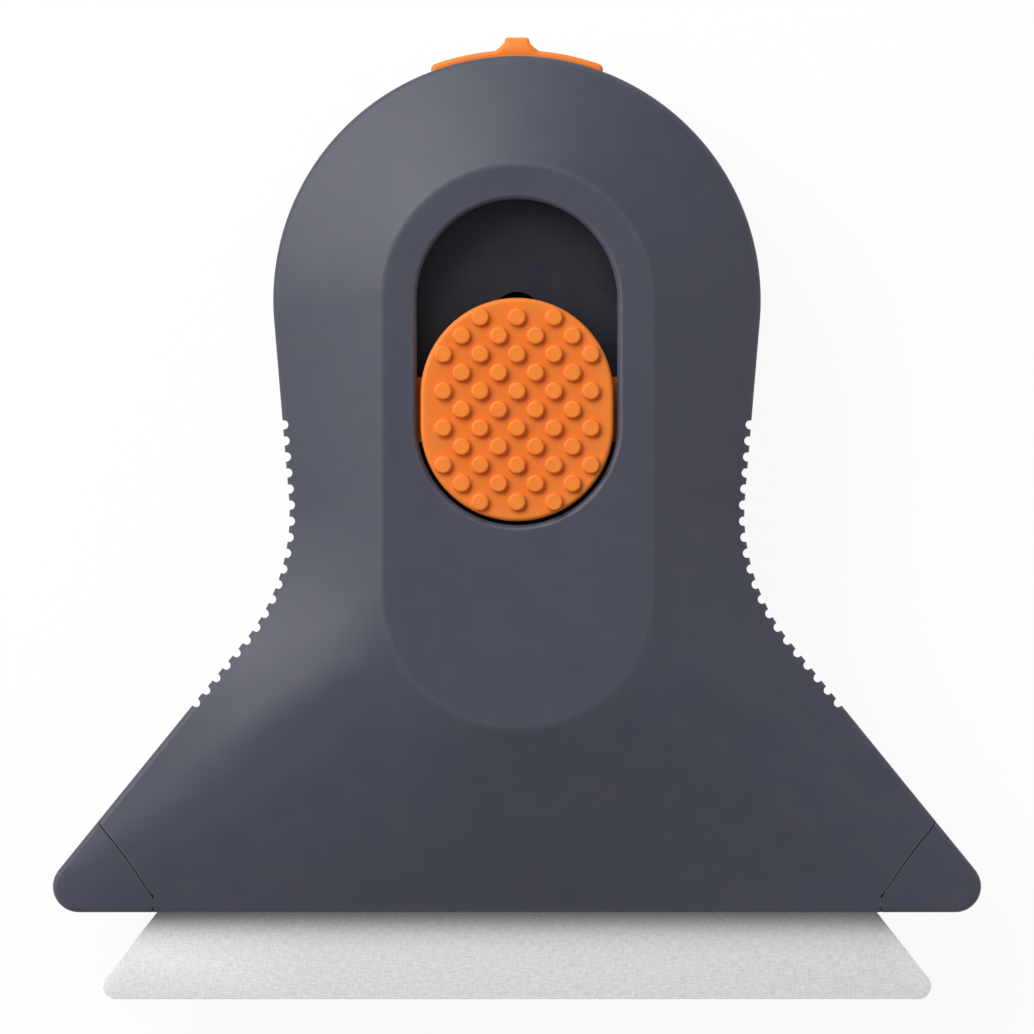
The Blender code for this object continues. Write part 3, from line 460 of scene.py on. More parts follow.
def turned(profile, centre, steps=32, loop=False):
    """A profile of radius and level turned about an upright axis through centre, with loop into a ring."""
    rows = [lifted(np.asarray(centre) + circle(steps) * radius, level) for radius, level in profile]
    return skin(rows, loop)


def stadium(half, low, high):
    """An anticlockwise upright oblong with round ends about the heights low and high."""
    upper = arc((0, high), half, 0, math.pi, 40)
    lower = arc((0, low), half, math.pi, math.tau, 40)
    return np.concatenate((upper, lower))


# The case's outline and surfaces


def between(start, end, steps):
    along = np.linspace(0, 1, steps + 1)[1:-1, None]
    return np.asarray(start) * (1 - along) + np.asarray(end) * along


def edge_table():
    """The right half of the outline, densely: distance from the crown, points and inward normals."""
    dome = np.array((0, DOME_HEIGHT))
    across_side = np.array((math.cos(SIDE_TAPER), -math.sin(SIDE_TAPER)))
    down_side = np.array((-math.sin(SIDE_TAPER), -math.cos(SIDE_TAPER)))
    across_flank = np.array((math.cos(FLANK_TILT), math.sin(FLANK_TILT)))
    down_flank = np.array((math.sin(FLANK_TILT), -math.cos(FLANK_TILT)))
    side_top = dome + DOME_RADIUS * across_side
    mouth_end = np.array((MOUTH_HALF, 0))
    run, _ = np.linalg.solve(np.column_stack((down_side, down_flank)), mouth_end - side_top)
    waist_run = WAIST_RADIUS * math.tan((SIDE_TAPER + FLANK_TILT) / 2)
    waist_top = side_top + (run - waist_run) * down_side
    waist_centre = waist_top + WAIST_RADIUS * across_side
    corner_run = CORNER_RADIUS * math.tan((math.pi / 2 + FLANK_TILT) / 2)
    corner = np.array((MOUTH_HALF - corner_run, CORNER_RADIUS))
    dome_arc = arc(dome, DOME_RADIUS, math.pi / 2, -SIDE_TAPER, 500)
    waist_arc = arc(waist_centre, WAIST_RADIUS, math.pi - SIDE_TAPER, math.pi + FLANK_TILT, 200)
    corner_arc = arc(corner, CORNER_RADIUS, FLANK_TILT, -math.pi / 2, 80)
    runs = (
        (dome_arc, (dome - dome_arc) / DOME_RADIUS),
        (between(side_top, waist_top, 60), -across_side),
        (waist_arc, (waist_arc - waist_centre) / WAIST_RADIUS),
        (between(waist_arc[-1], corner_arc[0], 60), -across_flank),
        (corner_arc, (corner - corner_arc) / CORNER_RADIUS),
        (between(corner_arc[-1], (0, 0), 60), np.array((0, 1))),
    )
    points = np.concatenate([line for line, _ in runs] + [np.zeros((1, 2))])
    normals = [np.broadcast_to(facing, line.shape) for line, facing in runs]
    normals = np.concatenate(normals + [np.array([(0, 1)])])
    distance = np.concatenate(([0], np.cumsum(np.linalg.norm(np.diff(points, axis=0), axis=1))))
    return distance, points, normals


TABLE = edge_table()


def along_edge(distance):
    """Points and inward normals of the outline at distances from the crown."""
    table, points, normals = TABLE
    place = np.column_stack([np.interp(distance, table, points[:, axis]) for axis in (0, 1)])
    normal = np.column_stack([np.interp(distance, table, normals[:, axis]) for axis in (0, 1)])
    return place, normal / np.linalg.norm(normal, axis=1, keepdims=True)


def down_to(height):
    """How far along the edge from the crown the outline comes down to a height."""
    table, points, _ = TABLE
    return np.interp(-height, -points[:, 1], table)


def dome_distance(x, radius=DOME_RADIUS):
    """How far along the dome's edge the ray through a point at x on a circle of that radius leaves it."""
    return DOME_RADIUS * math.asin(x / radius)


def edge_samples():
    """Distances along the right half and how deep the outline is bitten there.

    Round notches take points on their own circle: along by radius times sine, in by radius times cosine
    plus the inset. The rest is stepped evenly, more closely by the seam, the corner and the lip, with
    doubled points where a pocket's side stands upright.
    """
    total = TABLE[0][-1]
    first = down_to(NOTCH_TOP)
    turn = np.linspace(-math.pi / 2, math.pi / 2, 15)
    centres = first + NOTCH_PITCH * np.arange(NOTCH_COUNT)
    bite_along = centres[:, None] + NOTCH_RADIUS * np.sin(turn)
    bite_depth = np.broadcast_to(NOTCH_INSET + NOTCH_RADIUS * np.cos(turn), bite_along.shape)
    tab = np.linspace(NOTCH_RADIUS + STEP_NUDGE, NOTCH_PITCH - NOTCH_RADIUS - STEP_NUDGE, 5)
    tab_along = centres[:, None] + tab
    row_along = np.concatenate((bite_along, tab_along), axis=1).ravel()
    row_depth = np.concatenate((bite_depth, np.zeros_like(tab_along)), axis=1).ravel()
    sides = [dome_distance(x, POCKET_RADIUS) for x in (LUG_ROOM_LEFT, LUG_ROOM_RIGHT)]
    sides.append(dome_distance(POCKET_HALF))
    steps = [side + nudge for side in sides for nudge in (-STEP_NUDGE, STEP_NUDGE)]
    start = first - NOTCH_RADIUS - STEP_NUDGE
    upper = np.unique(np.concatenate((np.arange(0, start, EDGE_STEP), steps, [start])))
    closer = (
        down_to(SEAM_END_HEIGHT) + np.linspace(-0.0008, 0.0012, 26),
        down_to(CORNER_RADIUS) + np.linspace(-0.0005, 0.0075, 36),
        total - SEAM_X + np.linspace(-0.0044, 0.0006, 84),
    )
    after = np.arange(centres[-1] + NOTCH_PITCH, total, LOWER_EDGE_STEP)
    lower = np.unique(np.concatenate((after, *closer, [total])))
    distance = np.concatenate((upper, row_along, lower))
    depth = np.concatenate((np.zeros_like(upper), row_depth, np.zeros_like(lower)))
    return distance, depth


def whole_edge():
    """The whole outline from the crown round the right side: points, normals and depth of bite."""
    distance, depth = edge_samples()
    points, normals = along_edge(distance)
    mirror = np.array((-1, 1))
    left = slice(-2, 0, -1)
    return (
        np.concatenate((points, points[left] * mirror)),
        np.concatenate((normals, normals[left] * mirror)),
        np.concatenate((depth, depth[left])),
    )


def from_middle(place, low, high):
    """The nearest points of the upright middle line between two heights, and the ways out from them."""
    middle = np.zeros_like(place)
    middle[:, 1] = np.clip(place[:, 1], low, high)
    return middle, place - middle


def on_oblong(place, half, low):
    """Where rays from places to a middle line below the dome's middle meet the oblong about that line."""
    middle, away = from_middle(place, low, DOME_HEIGHT)
    return middle + half * away / np.linalg.norm(away, axis=1, keepdims=True)


def land_points(edge, half):
    """Where rays from the edge to the land's middle line meet an oblong of that half width about it."""
    return on_oblong(edge, half, LAND_LOW)


def slot_points(edge, half):
    """The land's points drawn on to the thumb slot's oblong."""
    return on_oblong(land_points(edge, LAND_HALF), half, SLOT_LOW)


def smooth_step(share):
    share = np.clip(share, 0, 1)
    return share * share * (3 - 2 * share)


def rim_level(heights):
    """The rim's height: a smooth step from its value at the mouth to its value beside the land."""
    return RIM_AT_MOUTH + (RIM_AT_DOME - RIM_AT_MOUTH) * smooth_step(heights / LAND_LOW)


def crowned(start, end, along):
    """From start to end, raised in the middle by the bulge times along times one less along."""
    return start + (end - start) * (along + BULGE_SHARE * along * (1 - along))


def ease_table():
    """How far the slope's level lines leave the outline on their way up, so that no ridge runs to a corner.

    Each line is the outline averaged along itself with a Gaussian weight, less the outline, which goes
    on mirrored past the middle of the mouth. The weight's width is the reach times the share of the way
    up to one power and what is left of it to another, and it fades out from the mouth to the waist.
    Towards the corners the apron is added along the normals, averaged in the same way, times the share
    and the square of what is left. Places are told apart by their turn about the land's low centre.
    """
    table = TABLE[0]
    near = np.arange(down_to(EASE_START), table[-1] + 2 * EASE_REACH, EASE_STEP)
    past = near > table[-1]
    line, facing = along_edge(np.where(past, 2 * table[-1] - near, near))
    line[past, 0] *= -1
    place = np.linspace(near[0], table[-1], 500)
    here = np.column_stack(along_edge(place))
    fade = smooth_step((EASE_TOP - here[:, 1]) / (EASE_TOP - EASE_FULL))
    shares = np.linspace(0, 1, 41) ** 2
    width = EASE_REACH * shares**EASE_RISE * (1 - shares) ** EASE_FALL
    width = np.maximum(width[:, None] * fade, 1e-6)
    weight = np.exp(-0.5 * ((near - place[:, None]) / width[..., None]) ** 2)
    weight /= np.maximum(weight.sum(axis=2, keepdims=True), 1e-9)
    apron = APRON * fade * smooth_step((here[:, 0] - APRON_INNER) / (APRON_OUTER - APRON_INNER))
    mean = weight @ np.column_stack((line, facing))
    offset = mean - here
    offset[..., :2] += (shares * (1 - shares) ** 2)[:, None, None] * apron[:, None] * mean[..., 2:]
    offset[width < EASE_LEAST] = 0
    return np.arctan2(LAND_LOW - here[:, 1], here[:, 0]), shares, offset


EASE = ease_table()


def eased(edge, along, inset):
    """The ease table's offsets at places of a line inset from the outline, and at shares of the slope."""
    turns, shares, offset = EASE
    turn = np.arctan2(LAND_LOW - edge[:, 1], np.abs(edge[:, 0]))
    column = np.interp(turn, turns, np.arange(len(turns)))
    row = np.interp(along, shares, np.arange(len(shares)))
    left = np.minimum(column.astype(int), len(turns) - 2)
    low = np.minimum(row.astype(int), len(shares) - 2)
    across, up = (column - left)[:, None], (row - low)[:, None]
    lower = offset[low, left] * (1 - across) + offset[low, left + 1] * across
    upper = offset[low + 1, left] * (1 - across) + offset[low + 1, left + 1] * across
    mixed = lower * (1 - up) + upper * up
    mixed = mixed[:, :2] + mixed[:, 2:] * np.reshape(inset, (-1, 1))
    return mixed * np.column_stack((np.sign(edge[:, 0]), np.ones(len(edge))))


def slope(edge, normals, along, inset, foot_level, top_level):
    """Points and levels at shares of the way up from a foot inset from the outline to the land's edge."""
    along = np.broadcast_to(along, len(edge))
    foot = edge + normals * np.reshape(inset, (-1, 1)) + eased(edge, along, inset)
    top = land_points(foot, LAND_HALF)
    place = foot * (1 - along[:, None]) + top * along[:, None]
    return place, crowned(foot_level, top_level, along)


def outer_slope(edge, normals, along):
    """Points and levels on the outside slope, whose foot is the end of the rim's round."""
    inset = RIM_ROUND * (1 - math.cos(RIM_TURN))
    foot_level = rim_level(edge[:, 1]) - RIM_ROUND * (1 - math.sin(RIM_TURN))
    return slope(edge, normals, along, inset, foot_level, HALF_THICKNESS)


def inner_slope(edge, normals, along, inset):
    """Points and levels on the inside of the slope, a wall in from the outside."""
    foot_level = rim_level(edge[:, 1]) - INNER_RIM_SHARE * WALL
    return slope(edge, normals, along, inset, foot_level, HALF_THICKNESS - WALL)


def bitten(place, edge, normals, depth):
    """Moves points in to the notches' walls where they lie outside them."""
    inset = np.einsum("ij,ij->i", place - edge, normals)
    return place + normals * np.maximum(depth - inset, 0)[:, None]


def slope_level(x, height):
    """The outside's level over points of the lower slope, whose rays fan out from the land's low centre."""
    _, points, normals = TABLE
    lower = points[:, 1] < LAND_LOW
    foot, levels = outer_slope(points[lower], normals[lower], 0)
    away = foot - (0, LAND_LOW)
    turns = -np.arctan2(away[:, 1], away[:, 0])
    turn = np.arctan2(LAND_LOW - height, x)
    reach = np.interp(turn, turns, np.linalg.norm(away, axis=1))
    start = np.interp(turn, turns, levels)
    along = (reach - np.hypot(x, height - LAND_LOW)) / (reach - LAND_HALF)
    return crowned(start, HALF_THICKNESS, np.clip(along, 0, 1))


def seam_table():
    """Radius about the hinge of the surface between cover and guard, at places across the case."""
    x = np.linspace(SEAM_X, MOUTH_HALF + SEAM_SPARE, 120)
    climb = (SEAM_END_HEIGHT - HINGE_HEIGHT) / (SEAM_END_X - SEAM_X)
    height = HINGE_HEIGHT + (x - SEAM_X) * climb
    return x, np.hypot(height - HINGE_HEIGHT, slope_level(x, height) - HINGE_LEVEL)


SEAM = seam_table()


def past_seam(place, level, grow):
    """How far points lie from the guard's zone about the hinge: below zero inside it, grown by grow."""
    x = np.abs(place[..., 0])
    radius = np.hypot(place[..., 1] - HINGE_HEIGHT, level - HINGE_LEVEL)
    return np.maximum(radius - np.interp(x, *SEAM) - grow, SEAM_X - UPRIGHT_SHARE * grow - x)


def clear_of_guard(place, level, grow):
    """Points moved up the case out of the guard's zone, where they lie beyond its upright start.

    They go straight up, and inward where that would take them past the outline.
    """
    _, points, _ = TABLE
    x = np.abs(place[:, 0])
    radius = np.interp(x, *SEAM) + grow
    least = HINGE_HEIGHT + np.sqrt(np.maximum(radius**2 - (level - HINGE_LEVEL) ** 2, 0))
    inside = (x > SEAM_X - UPRIGHT_SHARE * grow + 1e-7) & (place[:, 1] < least)
    height = np.where(inside, least, place[:, 1])
    most = np.interp(-height, -points[:, 1], points[:, 0])
    x = np.where(inside, np.minimum(x, most), x)
    return np.column_stack((np.copysign(x, place[:, 0]), height))


def crossing(path, grow):
    """The share of each path at which it leaves the guard's zone, found by halving.

    It is zero where the path starts outside the zone.
    """
    place, level = path(0)
    low = np.zeros(len(place))
    high = np.where(past_seam(place, level, grow) < 0, 1.0, 0.0)
    for _ in range(HALVINGS):
        middle = (low + high) / 2
        place, level = path(middle)
        inside = past_seam(place, level, grow) < 0
        low = np.where(inside, middle, low)
        high = np.where(inside, high, middle)
    return high


def on_seam(edge, level, grow):
    """Points of the guard's seam at a level, on rays from the edge to the land's low centre."""
    centre = np.array((0, LAND_LOW))

    def ray(along):
        along = np.broadcast_to(along, len(edge))[:, None]
        return edge * (1 - along) + centre * along, np.broadcast_to(level, len(edge))

    return ray(crossing(ray, grow))[0]


def blade_room(height):
    """Half the width that the drawn-in blade sweeps at a height above the mouth line."""
    point = BLADE_HALF - BLADE_CORNER + BLADE_CORNER * (1 + math.sin(BLADE_TILT)) / math.cos(BLADE_TILT)
    drawn_in = TRAVEL - BLADE_OUT
    return point + CLEARANCE / math.cos(BLADE_TILT) + (drawn_in - height) * math.tan(BLADE_TILT)


def parting_level(place, highest=math.inf):
    """How far an edge stays from the parting plane: half a gap, or more where the blade passes."""
    passes = (np.abs(place[:, 0]) < blade_room(place[:, 1])) & (place[:, 1] < highest)
    return np.where(passes, GAP_HALF, CLEARANCE / 2)


def over_crown(edge, left, right):
    """Which points of the outline lie on the crown, within distances along it to the left and right."""
    turn = np.arctan2(edge[:, 0], edge[:, 1] - DOME_HEIGHT)
    between_sides = (turn > -left / DOME_RADIUS) & (turn < right / DOME_RADIUS)
    return between_sides & (edge[:, 1] > DOME_HEIGHT)


def latch_pocket(edge):
    """How deep the latch's pocket bites into the outline at each of its points."""
    half = dome_distance(POCKET_HALF)
    return np.where(over_crown(edge, half, half), DOME_RADIUS - POCKET_RADIUS, 0.0)


SLOPE_SHARES = np.array(
    (0, 0.006, 0.014, 0.024, 0.04, 0.07, 0.11, 0.17, 0.25, 0.34, 0.44, 0.54, 0.64, 0.74, 0.84, 0.92, 0.97)
)
INNER_SHARES = np.array((0, 0.04, 0.15, 0.3, 0.5, 0.75, 1))
ROUND_TURNS = np.linspace(0, RIM_TURN, 7)
WALL_NEAR, WALL_FAR = 0.67, 0.33
EDGE_ROW = 5
LIP_FIRST_TURN = 0.25


def rim_round(edge, normals, depth, turn):
    """A row on the rounded rim: inset by radius times one less cosine, dropped by one less sine."""
    place = edge + normals * RIM_ROUND * (1 - math.cos(turn))
    level = rim_level(edge[:, 1]) - RIM_ROUND * (1 - math.sin(turn))
    return bitten(place, edge, normals, depth), level


def land_edge(edge, soft):
    """The last row of the slope, short of the land by soft, and the first on the land."""
    outer = land_points(edge, LAND_HALF + soft)
    reach = np.linalg.norm(outer - edge, axis=1)
    drop = HALF_THICKNESS - rim_level(edge[:, 1])
    level = HALF_THICKNESS - soft * drop * (1 - BULGE_SHARE) / reach
    return (outer, level), (land_points(edge, LAND_HALF - soft), HALF_THICKNESS)


def wall_rows(edge, start, inset, pocket, pocket_top, soft):
    """Rows from the inside foot, down the wall, across its edge and up the outside to the rim's round.

    Each row is an inset and a level a point. The latch's pocket deepens the inset up to its top, where
    two rows lie a twentieth of the softness apart.
    """
    rim = rim_level(edge[:, 1])
    foot = rim - INNER_RIM_SHARE * WALL
    top = rim - RIM_ROUND
    split = np.minimum(pocket_top, top)
    return [
        (inset, foot),
        (inset, foot * WALL_NEAR + start * WALL_FAR),
        (inset, foot * WALL_FAR + start * WALL_NEAR),
        (inset, start + soft),
        (inset - soft, start),
        (np.maximum(inset / 2, pocket), start),
        (np.maximum(soft, pocket), start),
        (pocket, start + soft),
        (pocket, (start + split) / 2),
        (pocket, split - soft / 20),
        (np.zeros_like(rim), split),
        (np.zeros_like(rim), top),
    ]


def cover_surface():
    """The front cover as a closed tube of rows: inside slope, edge, outside slope, land and slot wall.

    Over the corner guards the rows start on the seam, a surface turned about the hinge, instead of at
    the case's edge. At the mouth the edge is a round lip about the hinge's axis. Where the seam cuts
    the inside slope, all rows of the wall and the rim lie on it, and elsewhere those from the middle of
    the wall's edge on. A row's weight, from zero to one, says how much it gets rubbed lighter; on the
    rim's round, the seam's top, the land's edge and the slot's rim it also paints a highlight.
    """
    edge, normals, depth = whole_edge()
    count = len(edge)
    soft, land_soft = sizes().edge_soft, sizes().land_soft
    half_gap = CLEARANCE / 2
    seam_gap = SEAM_GAP / 2
    mouth_end = MOUTH_HALF - CORNER_RADIUS
    mouth = (edge[:, 1] < 1e-9) & (np.abs(edge[:, 0]) < mouth_end)
    lip_share = smooth_step((mouth_end - np.abs(edge[:, 0])) / (mouth_end - SEAM_X))
    foot_inset = np.where(mouth, WALL + (2 * LIP_RADIUS - WALL) * lip_share, WALL)
    outer_from = crossing(lambda along: outer_slope(edge, normals, along), seam_gap)
    inner_from = crossing(lambda along: inner_slope(edge, normals, along, foot_inset), seam_gap)
    corner = outer_from > 0
    deep = corner & (inner_from > 0)
    top_place, seam_top = outer_slope(edge, normals, outer_from)
    low_place, seam_low = inner_slope(edge, normals, inner_from, foot_inset)
    low_place = np.where(deep[:, None], low_place, on_seam(edge, half_gap, seam_gap))
    seam_low = np.where(deep, seam_low, half_gap)
    rows, weights = [], []

    def row(place, level, weight=0.0):
        rows.append(lifted(clear_of_guard(place, level, seam_gap), level))
        weights.append(np.broadcast_to(weight, count))

    for along in INNER_SHARES[::-1]:
        row(*inner_slope(edge, normals, inner_from + (1 - inner_from) * along, foot_inset))
    plain = wall_rows(edge, np.full(count, half_gap), foot_inset, latch_pocket(edge), POCKET_TOP, soft)
    lip_turns = np.concatenate(([LIP_FIRST_TURN], np.linspace(0, -math.pi, len(plain) - 2)))
    last = len(plain) - 1
    steps = len(plain) + len(ROUND_TURNS)
    for number in range(steps):
        if number <= last:
            inset, level = plain[number]
            place = bitten(edge + normals * inset[:, None], edge, normals, depth)
        else:
            place, level = rim_round(edge, normals, depth, ROUND_TURNS[number - len(plain)])
        if number < last:
            lip = HINGE_HEIGHT + LIP_RADIUS * math.cos(lip_turns[number])
            lip_level = HINGE_LEVEL + LIP_RADIUS * math.sin(lip_turns[number])
            place = np.where(mouth[:, None], edge + normals * lip, place)
            level = np.where(mouth, lip_level, level)
        climb = np.where(deep, number / steps, max(number - EDGE_ROW, 0) / (steps - EDGE_ROW))
        seam_level = seam_low + (seam_top - seam_low) * climb
        seam_place = low_place + (top_place - low_place) * climb[:, None]
        seamed = deep | (corner & (number >= EDGE_ROW))
        place = np.where(seamed[:, None], seam_place, place)
        level = np.where(seamed, seam_level, level)
        # The rim's round is lighter by half, and the seam's top over the guards fully: painted highlights
        row(place, level, np.where(corner, number == steps - 1, 0.5 if number >= last else 0.0))
    # The slope's foot is lighter by half, a painted highlight along the rim
    for along in SLOPE_SHARES:
        place, level = outer_slope(edge, normals, outer_from + (1 - outer_from) * along)
        row(bitten(place, edge, normals, depth), level, 0.5 if along == 0 else 0.0)
    # The land's edge is lighter, a painted highlight
    for place, level in land_edge(edge, land_soft):
        row(place, level, 0.4)
    row(land_points(edge, LAND_HALF - 4 * land_soft), HALF_THICKNESS)
    rim = SLOT_HALF + SLOT_CHAMFER
    # The slot's rim and chamfer are lighter, a painted highlight
    for half, level, weight in (
        (rim + 4 * soft, HALF_THICKNESS, 0.0),
        (rim + soft, HALF_THICKNESS, 0.9),
        (rim - soft, HALF_THICKNESS - soft, 0.9),
        (SLOT_HALF + soft, HALF_THICKNESS - SLOT_CHAMFER + soft, 0.9),
        (SLOT_HALF, HALF_THICKNESS - SLOT_CHAMFER - soft, 0.5),
        (SLOT_HALF, HALF_THICKNESS - WALL + soft, 0.0),
        (SLOT_HALF + soft, HALF_THICKNESS - WALL, 0.0),
    ):
        row(slot_points(edge, half), level, weight)
    return skin(rows, loop=True), np.concatenate(weights)


def back_surface():
    """The back shell as rows from the flat inside, up its wall, over its edge and down to the flat land."""
    edge, normals, depth = whole_edge()
    soft, land_soft = sizes().edge_soft, sizes().land_soft
    left, right = (dome_distance(x, POCKET_RADIUS) for x in (LUG_ROOM_LEFT, LUG_ROOM_RIGHT))
    in_lug_room = over_crown(edge, left, right)
    start = parting_level(edge, WALL)
    wall = np.full(len(edge), WALL)
    rows, weights = [], []

    def row(place, level, weight=0.0):
        rows.append(lifted(place, level) * (1, 1, -1))
        weights.append(np.broadcast_to(weight, len(edge)))

    for along in INNER_SHARES[::-1]:
        row(*inner_slope(edge, normals, along, wall))
    for inset, level in wall_rows(edge, start, wall, latch_pocket(edge), POCKET_BOTTOM, soft)[:-1]:
        level = np.where(in_lug_room, np.maximum(level, POCKET_BOTTOM), level)
        row(bitten(edge + normals * inset[:, None], edge, normals, depth), level)
    # The rim's round is lighter by half, a painted highlight
    for turn in ROUND_TURNS:
        row(*rim_round(edge, normals, depth, turn), 0.5)
    for along in SLOPE_SHARES:
        place, level = outer_slope(edge, normals, along)
        row(bitten(place, edge, normals, depth), level)
    # The land's edge is lighter, a painted highlight
    for place, level in land_edge(edge, land_soft):
        row(place, level, 0.4)
    return skin(rows), np.concatenate(weights)


def guard_surface(mirror):
    """A corner guard: rays across the corner, each a closed loop of bottom, edge, slope and seam wall.

    Points that would stand past the seam are drawn in towards the hinge's axis.
    """
    distance, _ = edge_samples()
    low = distance > down_to(SEAM_END_HEIGHT + SEAM_SPARE)
    edge, normals = along_edge(distance[low])
    shrink = -SEAM_GAP / 2
    until = crossing(lambda along: outer_slope(edge, normals, along), shrink)
    inside = until > 0
    edge, normals, until = edge[inside], normals[inside], until[inside]
    none = np.zeros(len(edge))
    soft = sizes().edge_soft
    _, seam_top = outer_slope(edge, normals, until)
    columns, weights = [], []

    def column(place, level, weight=0.0):
        columns.append(lifted(place, level))
        weights.append(weight)
    seam_low = on_seam(edge, parting_level(on_seam(edge, GAP_HALF, shrink)), shrink)
    for along in np.linspace(1, 0, 9):
        place = edge * (1 - along) + seam_low * along
        column(place if along else edge + normals * soft, parting_level(place))
    start, top = parting_level(edge), rim_level(edge[:, 1]) - RIM_ROUND
    # The wall's outer edge is a little lighter and the rim's round more: painted highlights
    for along in (0, 0.5, 1):
        column(edge, (start + soft) * (1 - along) + top * along, 0.2)
    for turn in ROUND_TURNS:
        column(*rim_round(edge, normals, none, turn), 0.5)
    for along in SLOPE_SHARES[1:]:
        column(*outer_slope(edge, normals, until * along))
    # The top of the seam is lighter, a painted highlight
    column(*outer_slope(edge, normals, until), 0.9)
    bottom = parting_level(seam_low)
    for along in np.linspace(0, 1, 8)[1:-1]:
        level = seam_top * (1 - along) + bottom * along
        column(on_seam(edge, level, shrink), level)
    loops = np.stack(columns, axis=1)
    hinge = np.array((HINGE_HEIGHT, HINGE_LEVEL))
    radius = np.linalg.norm(loops[..., 1:] - hinge, axis=-1)
    most = np.interp(loops[..., 0], *SEAM) + shrink
    drawn_in = np.minimum(most / radius, 1)[..., None]
    loops[..., 1:] = hinge + (loops[..., 1:] - hinge) * drawn_in
    return skin(loops * (mirror, 1, 1)), np.tile(weights, len(edge))


# Finishes


def new_group(name, inputs, outputs):
    """An empty shader group with its own input and output sockets, each a name, a type and a default."""
    group = bpy.data.node_groups.new(name, "ShaderNodeTree")
    for label, kind, default in inputs:
        group.interface.new_socket(label, in_out="INPUT", socket_type=kind).default_value = default
    for label, kind in outputs:
        group.interface.new_socket(label, in_out="OUTPUT", socket_type=kind)
    start = group.nodes.new("NodeGroupInput")
    end = group.nodes.new("NodeGroupOutput")
    return group, start, end


def filled(tree, node, inputs):
    """A node with inputs, by name or number, linked to sockets or set to numbers, vectors or colours."""
    for label, value in inputs.items():
        socket = node.inputs[label]
        if isinstance(value, bpy.types.NodeSocket):
            tree.links.new(value, socket)
        else:
            socket.default_value = (*value, 1.0) if socket.type == "RGBA" else value
    return node


def math_node(tree, operation, first, second):
    """One calculation on two sockets or numbers, kept between zero and one."""
    made = tree.nodes.new("ShaderNodeMath")
    made.operation = operation
    made.use_clamp = True
    return filled(tree, made, {0: first, 1: second}).outputs[0]


def noise(tree, scale, detail, stretch=None):
    """Noise on object coordinates, stretched along an axis where stretch is given."""
    place = tree.nodes.new("ShaderNodeTexCoord").outputs["Object"]
    if stretch is not None:
        mapping = tree.nodes.new("ShaderNodeMapping")
        place = filled(tree, mapping, {"Vector": place, "Scale": stretch}).outputs["Vector"]
    inputs = {"Vector": place, "Scale": scale, "Detail": detail, "Roughness": 0.55}
    return filled(tree, tree.nodes.new("ShaderNodeTexNoise"), inputs).outputs["Fac"]


def grain_group():
    """Moulded or ground grain: a fine height for bumps and a slow mottle for colour and gloss."""
    number = "NodeSocketFloat"
    inputs = (("Grain per metre", number, 5000.0), ("Mottle per metre", number, 60.0))
    group, start, end = new_group("moulded grain", inputs, (("Height", number), ("Mottle", number)))
    group.links.new(noise(group, start.outputs[0], 2.0), end.inputs["Height"])
    group.links.new(noise(group, start.outputs[1], 3.0), end.inputs["Mottle"])
    return group


def mask_group(name, amount, source, scale, detail, offset):
    """A mask from a source, broken up by noise plus an offset, times the group's amount."""
    number = "NodeSocketFloat"
    group, start, end = new_group(name, (("Amount", number, amount),), (("Mask", number),))
    patchy = math_node(group, "ADD", noise(group, scale, detail), offset)
    mask = math_node(group, "MULTIPLY", source(group), patchy)
    group.links.new(math_node(group, "MULTIPLY", mask, start.outputs[0]), end.inputs["Mask"])
    return group


def edge_wear_and_highlight(group):
    """The piece's edge attribute, which says how exposed each point is to rubbing and where a painted
    highlight lightens it.
    """
    edge = group.nodes.new("ShaderNodeAttribute")
    edge.attribute_name = "edge"
    return edge.outputs["Fac"]


def upward_mask(group):
    """How far faces look up, where dust settles."""
    facing = group.nodes.new("ShaderNodeNewGeometry").outputs["Normal"]
    return filled(group, group.nodes.new("ShaderNodeSeparateXYZ"), {0: facing}).outputs["Z"]


def shared_group(name):
    makers = {
        "moulded grain": grain_group,
        "rubbed edges and painted highlights": lambda: mask_group(name, 0.3, edge_wear_and_highlight, 900.0, 3.0, 0.25),
        "settled dust": lambda: mask_group(name, 0.05, upward_mask, 260.0, 5.0, -0.35),
    }
    return bpy.data.node_groups.get(name) or makers[name]()


def place_group(tree, name, *values):
    """One of the shared groups, set in a material with its own values."""
    made = tree.nodes.new("ShaderNodeGroup")
    made.node_tree = shared_group(name)
    for socket, value in zip(made.inputs, values):
        socket.default_value = value
    return made.outputs


def blend_colour(tree, factor, first, second):
    """A mix of two colours, each a socket or red, green and blue."""
    made = tree.nodes.new("ShaderNodeMix")
    made.data_type = "RGBA"
    return filled(tree, made, {0: factor, 6: first, 7: second}).outputs[2]


def mean_of(tree, first, second):
    return filled(tree, tree.nodes.new("ShaderNodeMix"), {0: 0.5, 2: first, 3: second}).outputs[0]


def scaled(rgb, factor):
    return tuple(min(channel * factor, 1.0) for channel in rgb)


def spread(tree, value, low, high):
    """Noise made to run from low to high where it runs from 0.3 to 0.7, which holds nearly all of it."""
    inputs = {"Value": value, "From Min": 0.3, "From Max": 0.7, "To Min": low, "To Max": high}
    return filled(tree, tree.nodes.new("ShaderNodeMapRange"), inputs).outputs["Result"]


def bump(tree, height, strength, depth):
    inputs = {"Height": height, "Strength": strength, "Distance": depth}
    return filled(tree, tree.nodes.new("ShaderNodeBump"), inputs).outputs["Normal"]


def new_material(name):
    made = bpy.data.materials.new(name)
    made.use_nodes = True
    return made, made.node_tree


def coat(tree, base, roughness, normal):
    """The inputs of the material's own shader, with its colour, roughness and normal linked."""
    values = {"Base Color": base, "Roughness": roughness, "Normal": normal}
    return filled(tree, tree.nodes["Principled BSDF"], values).inputs


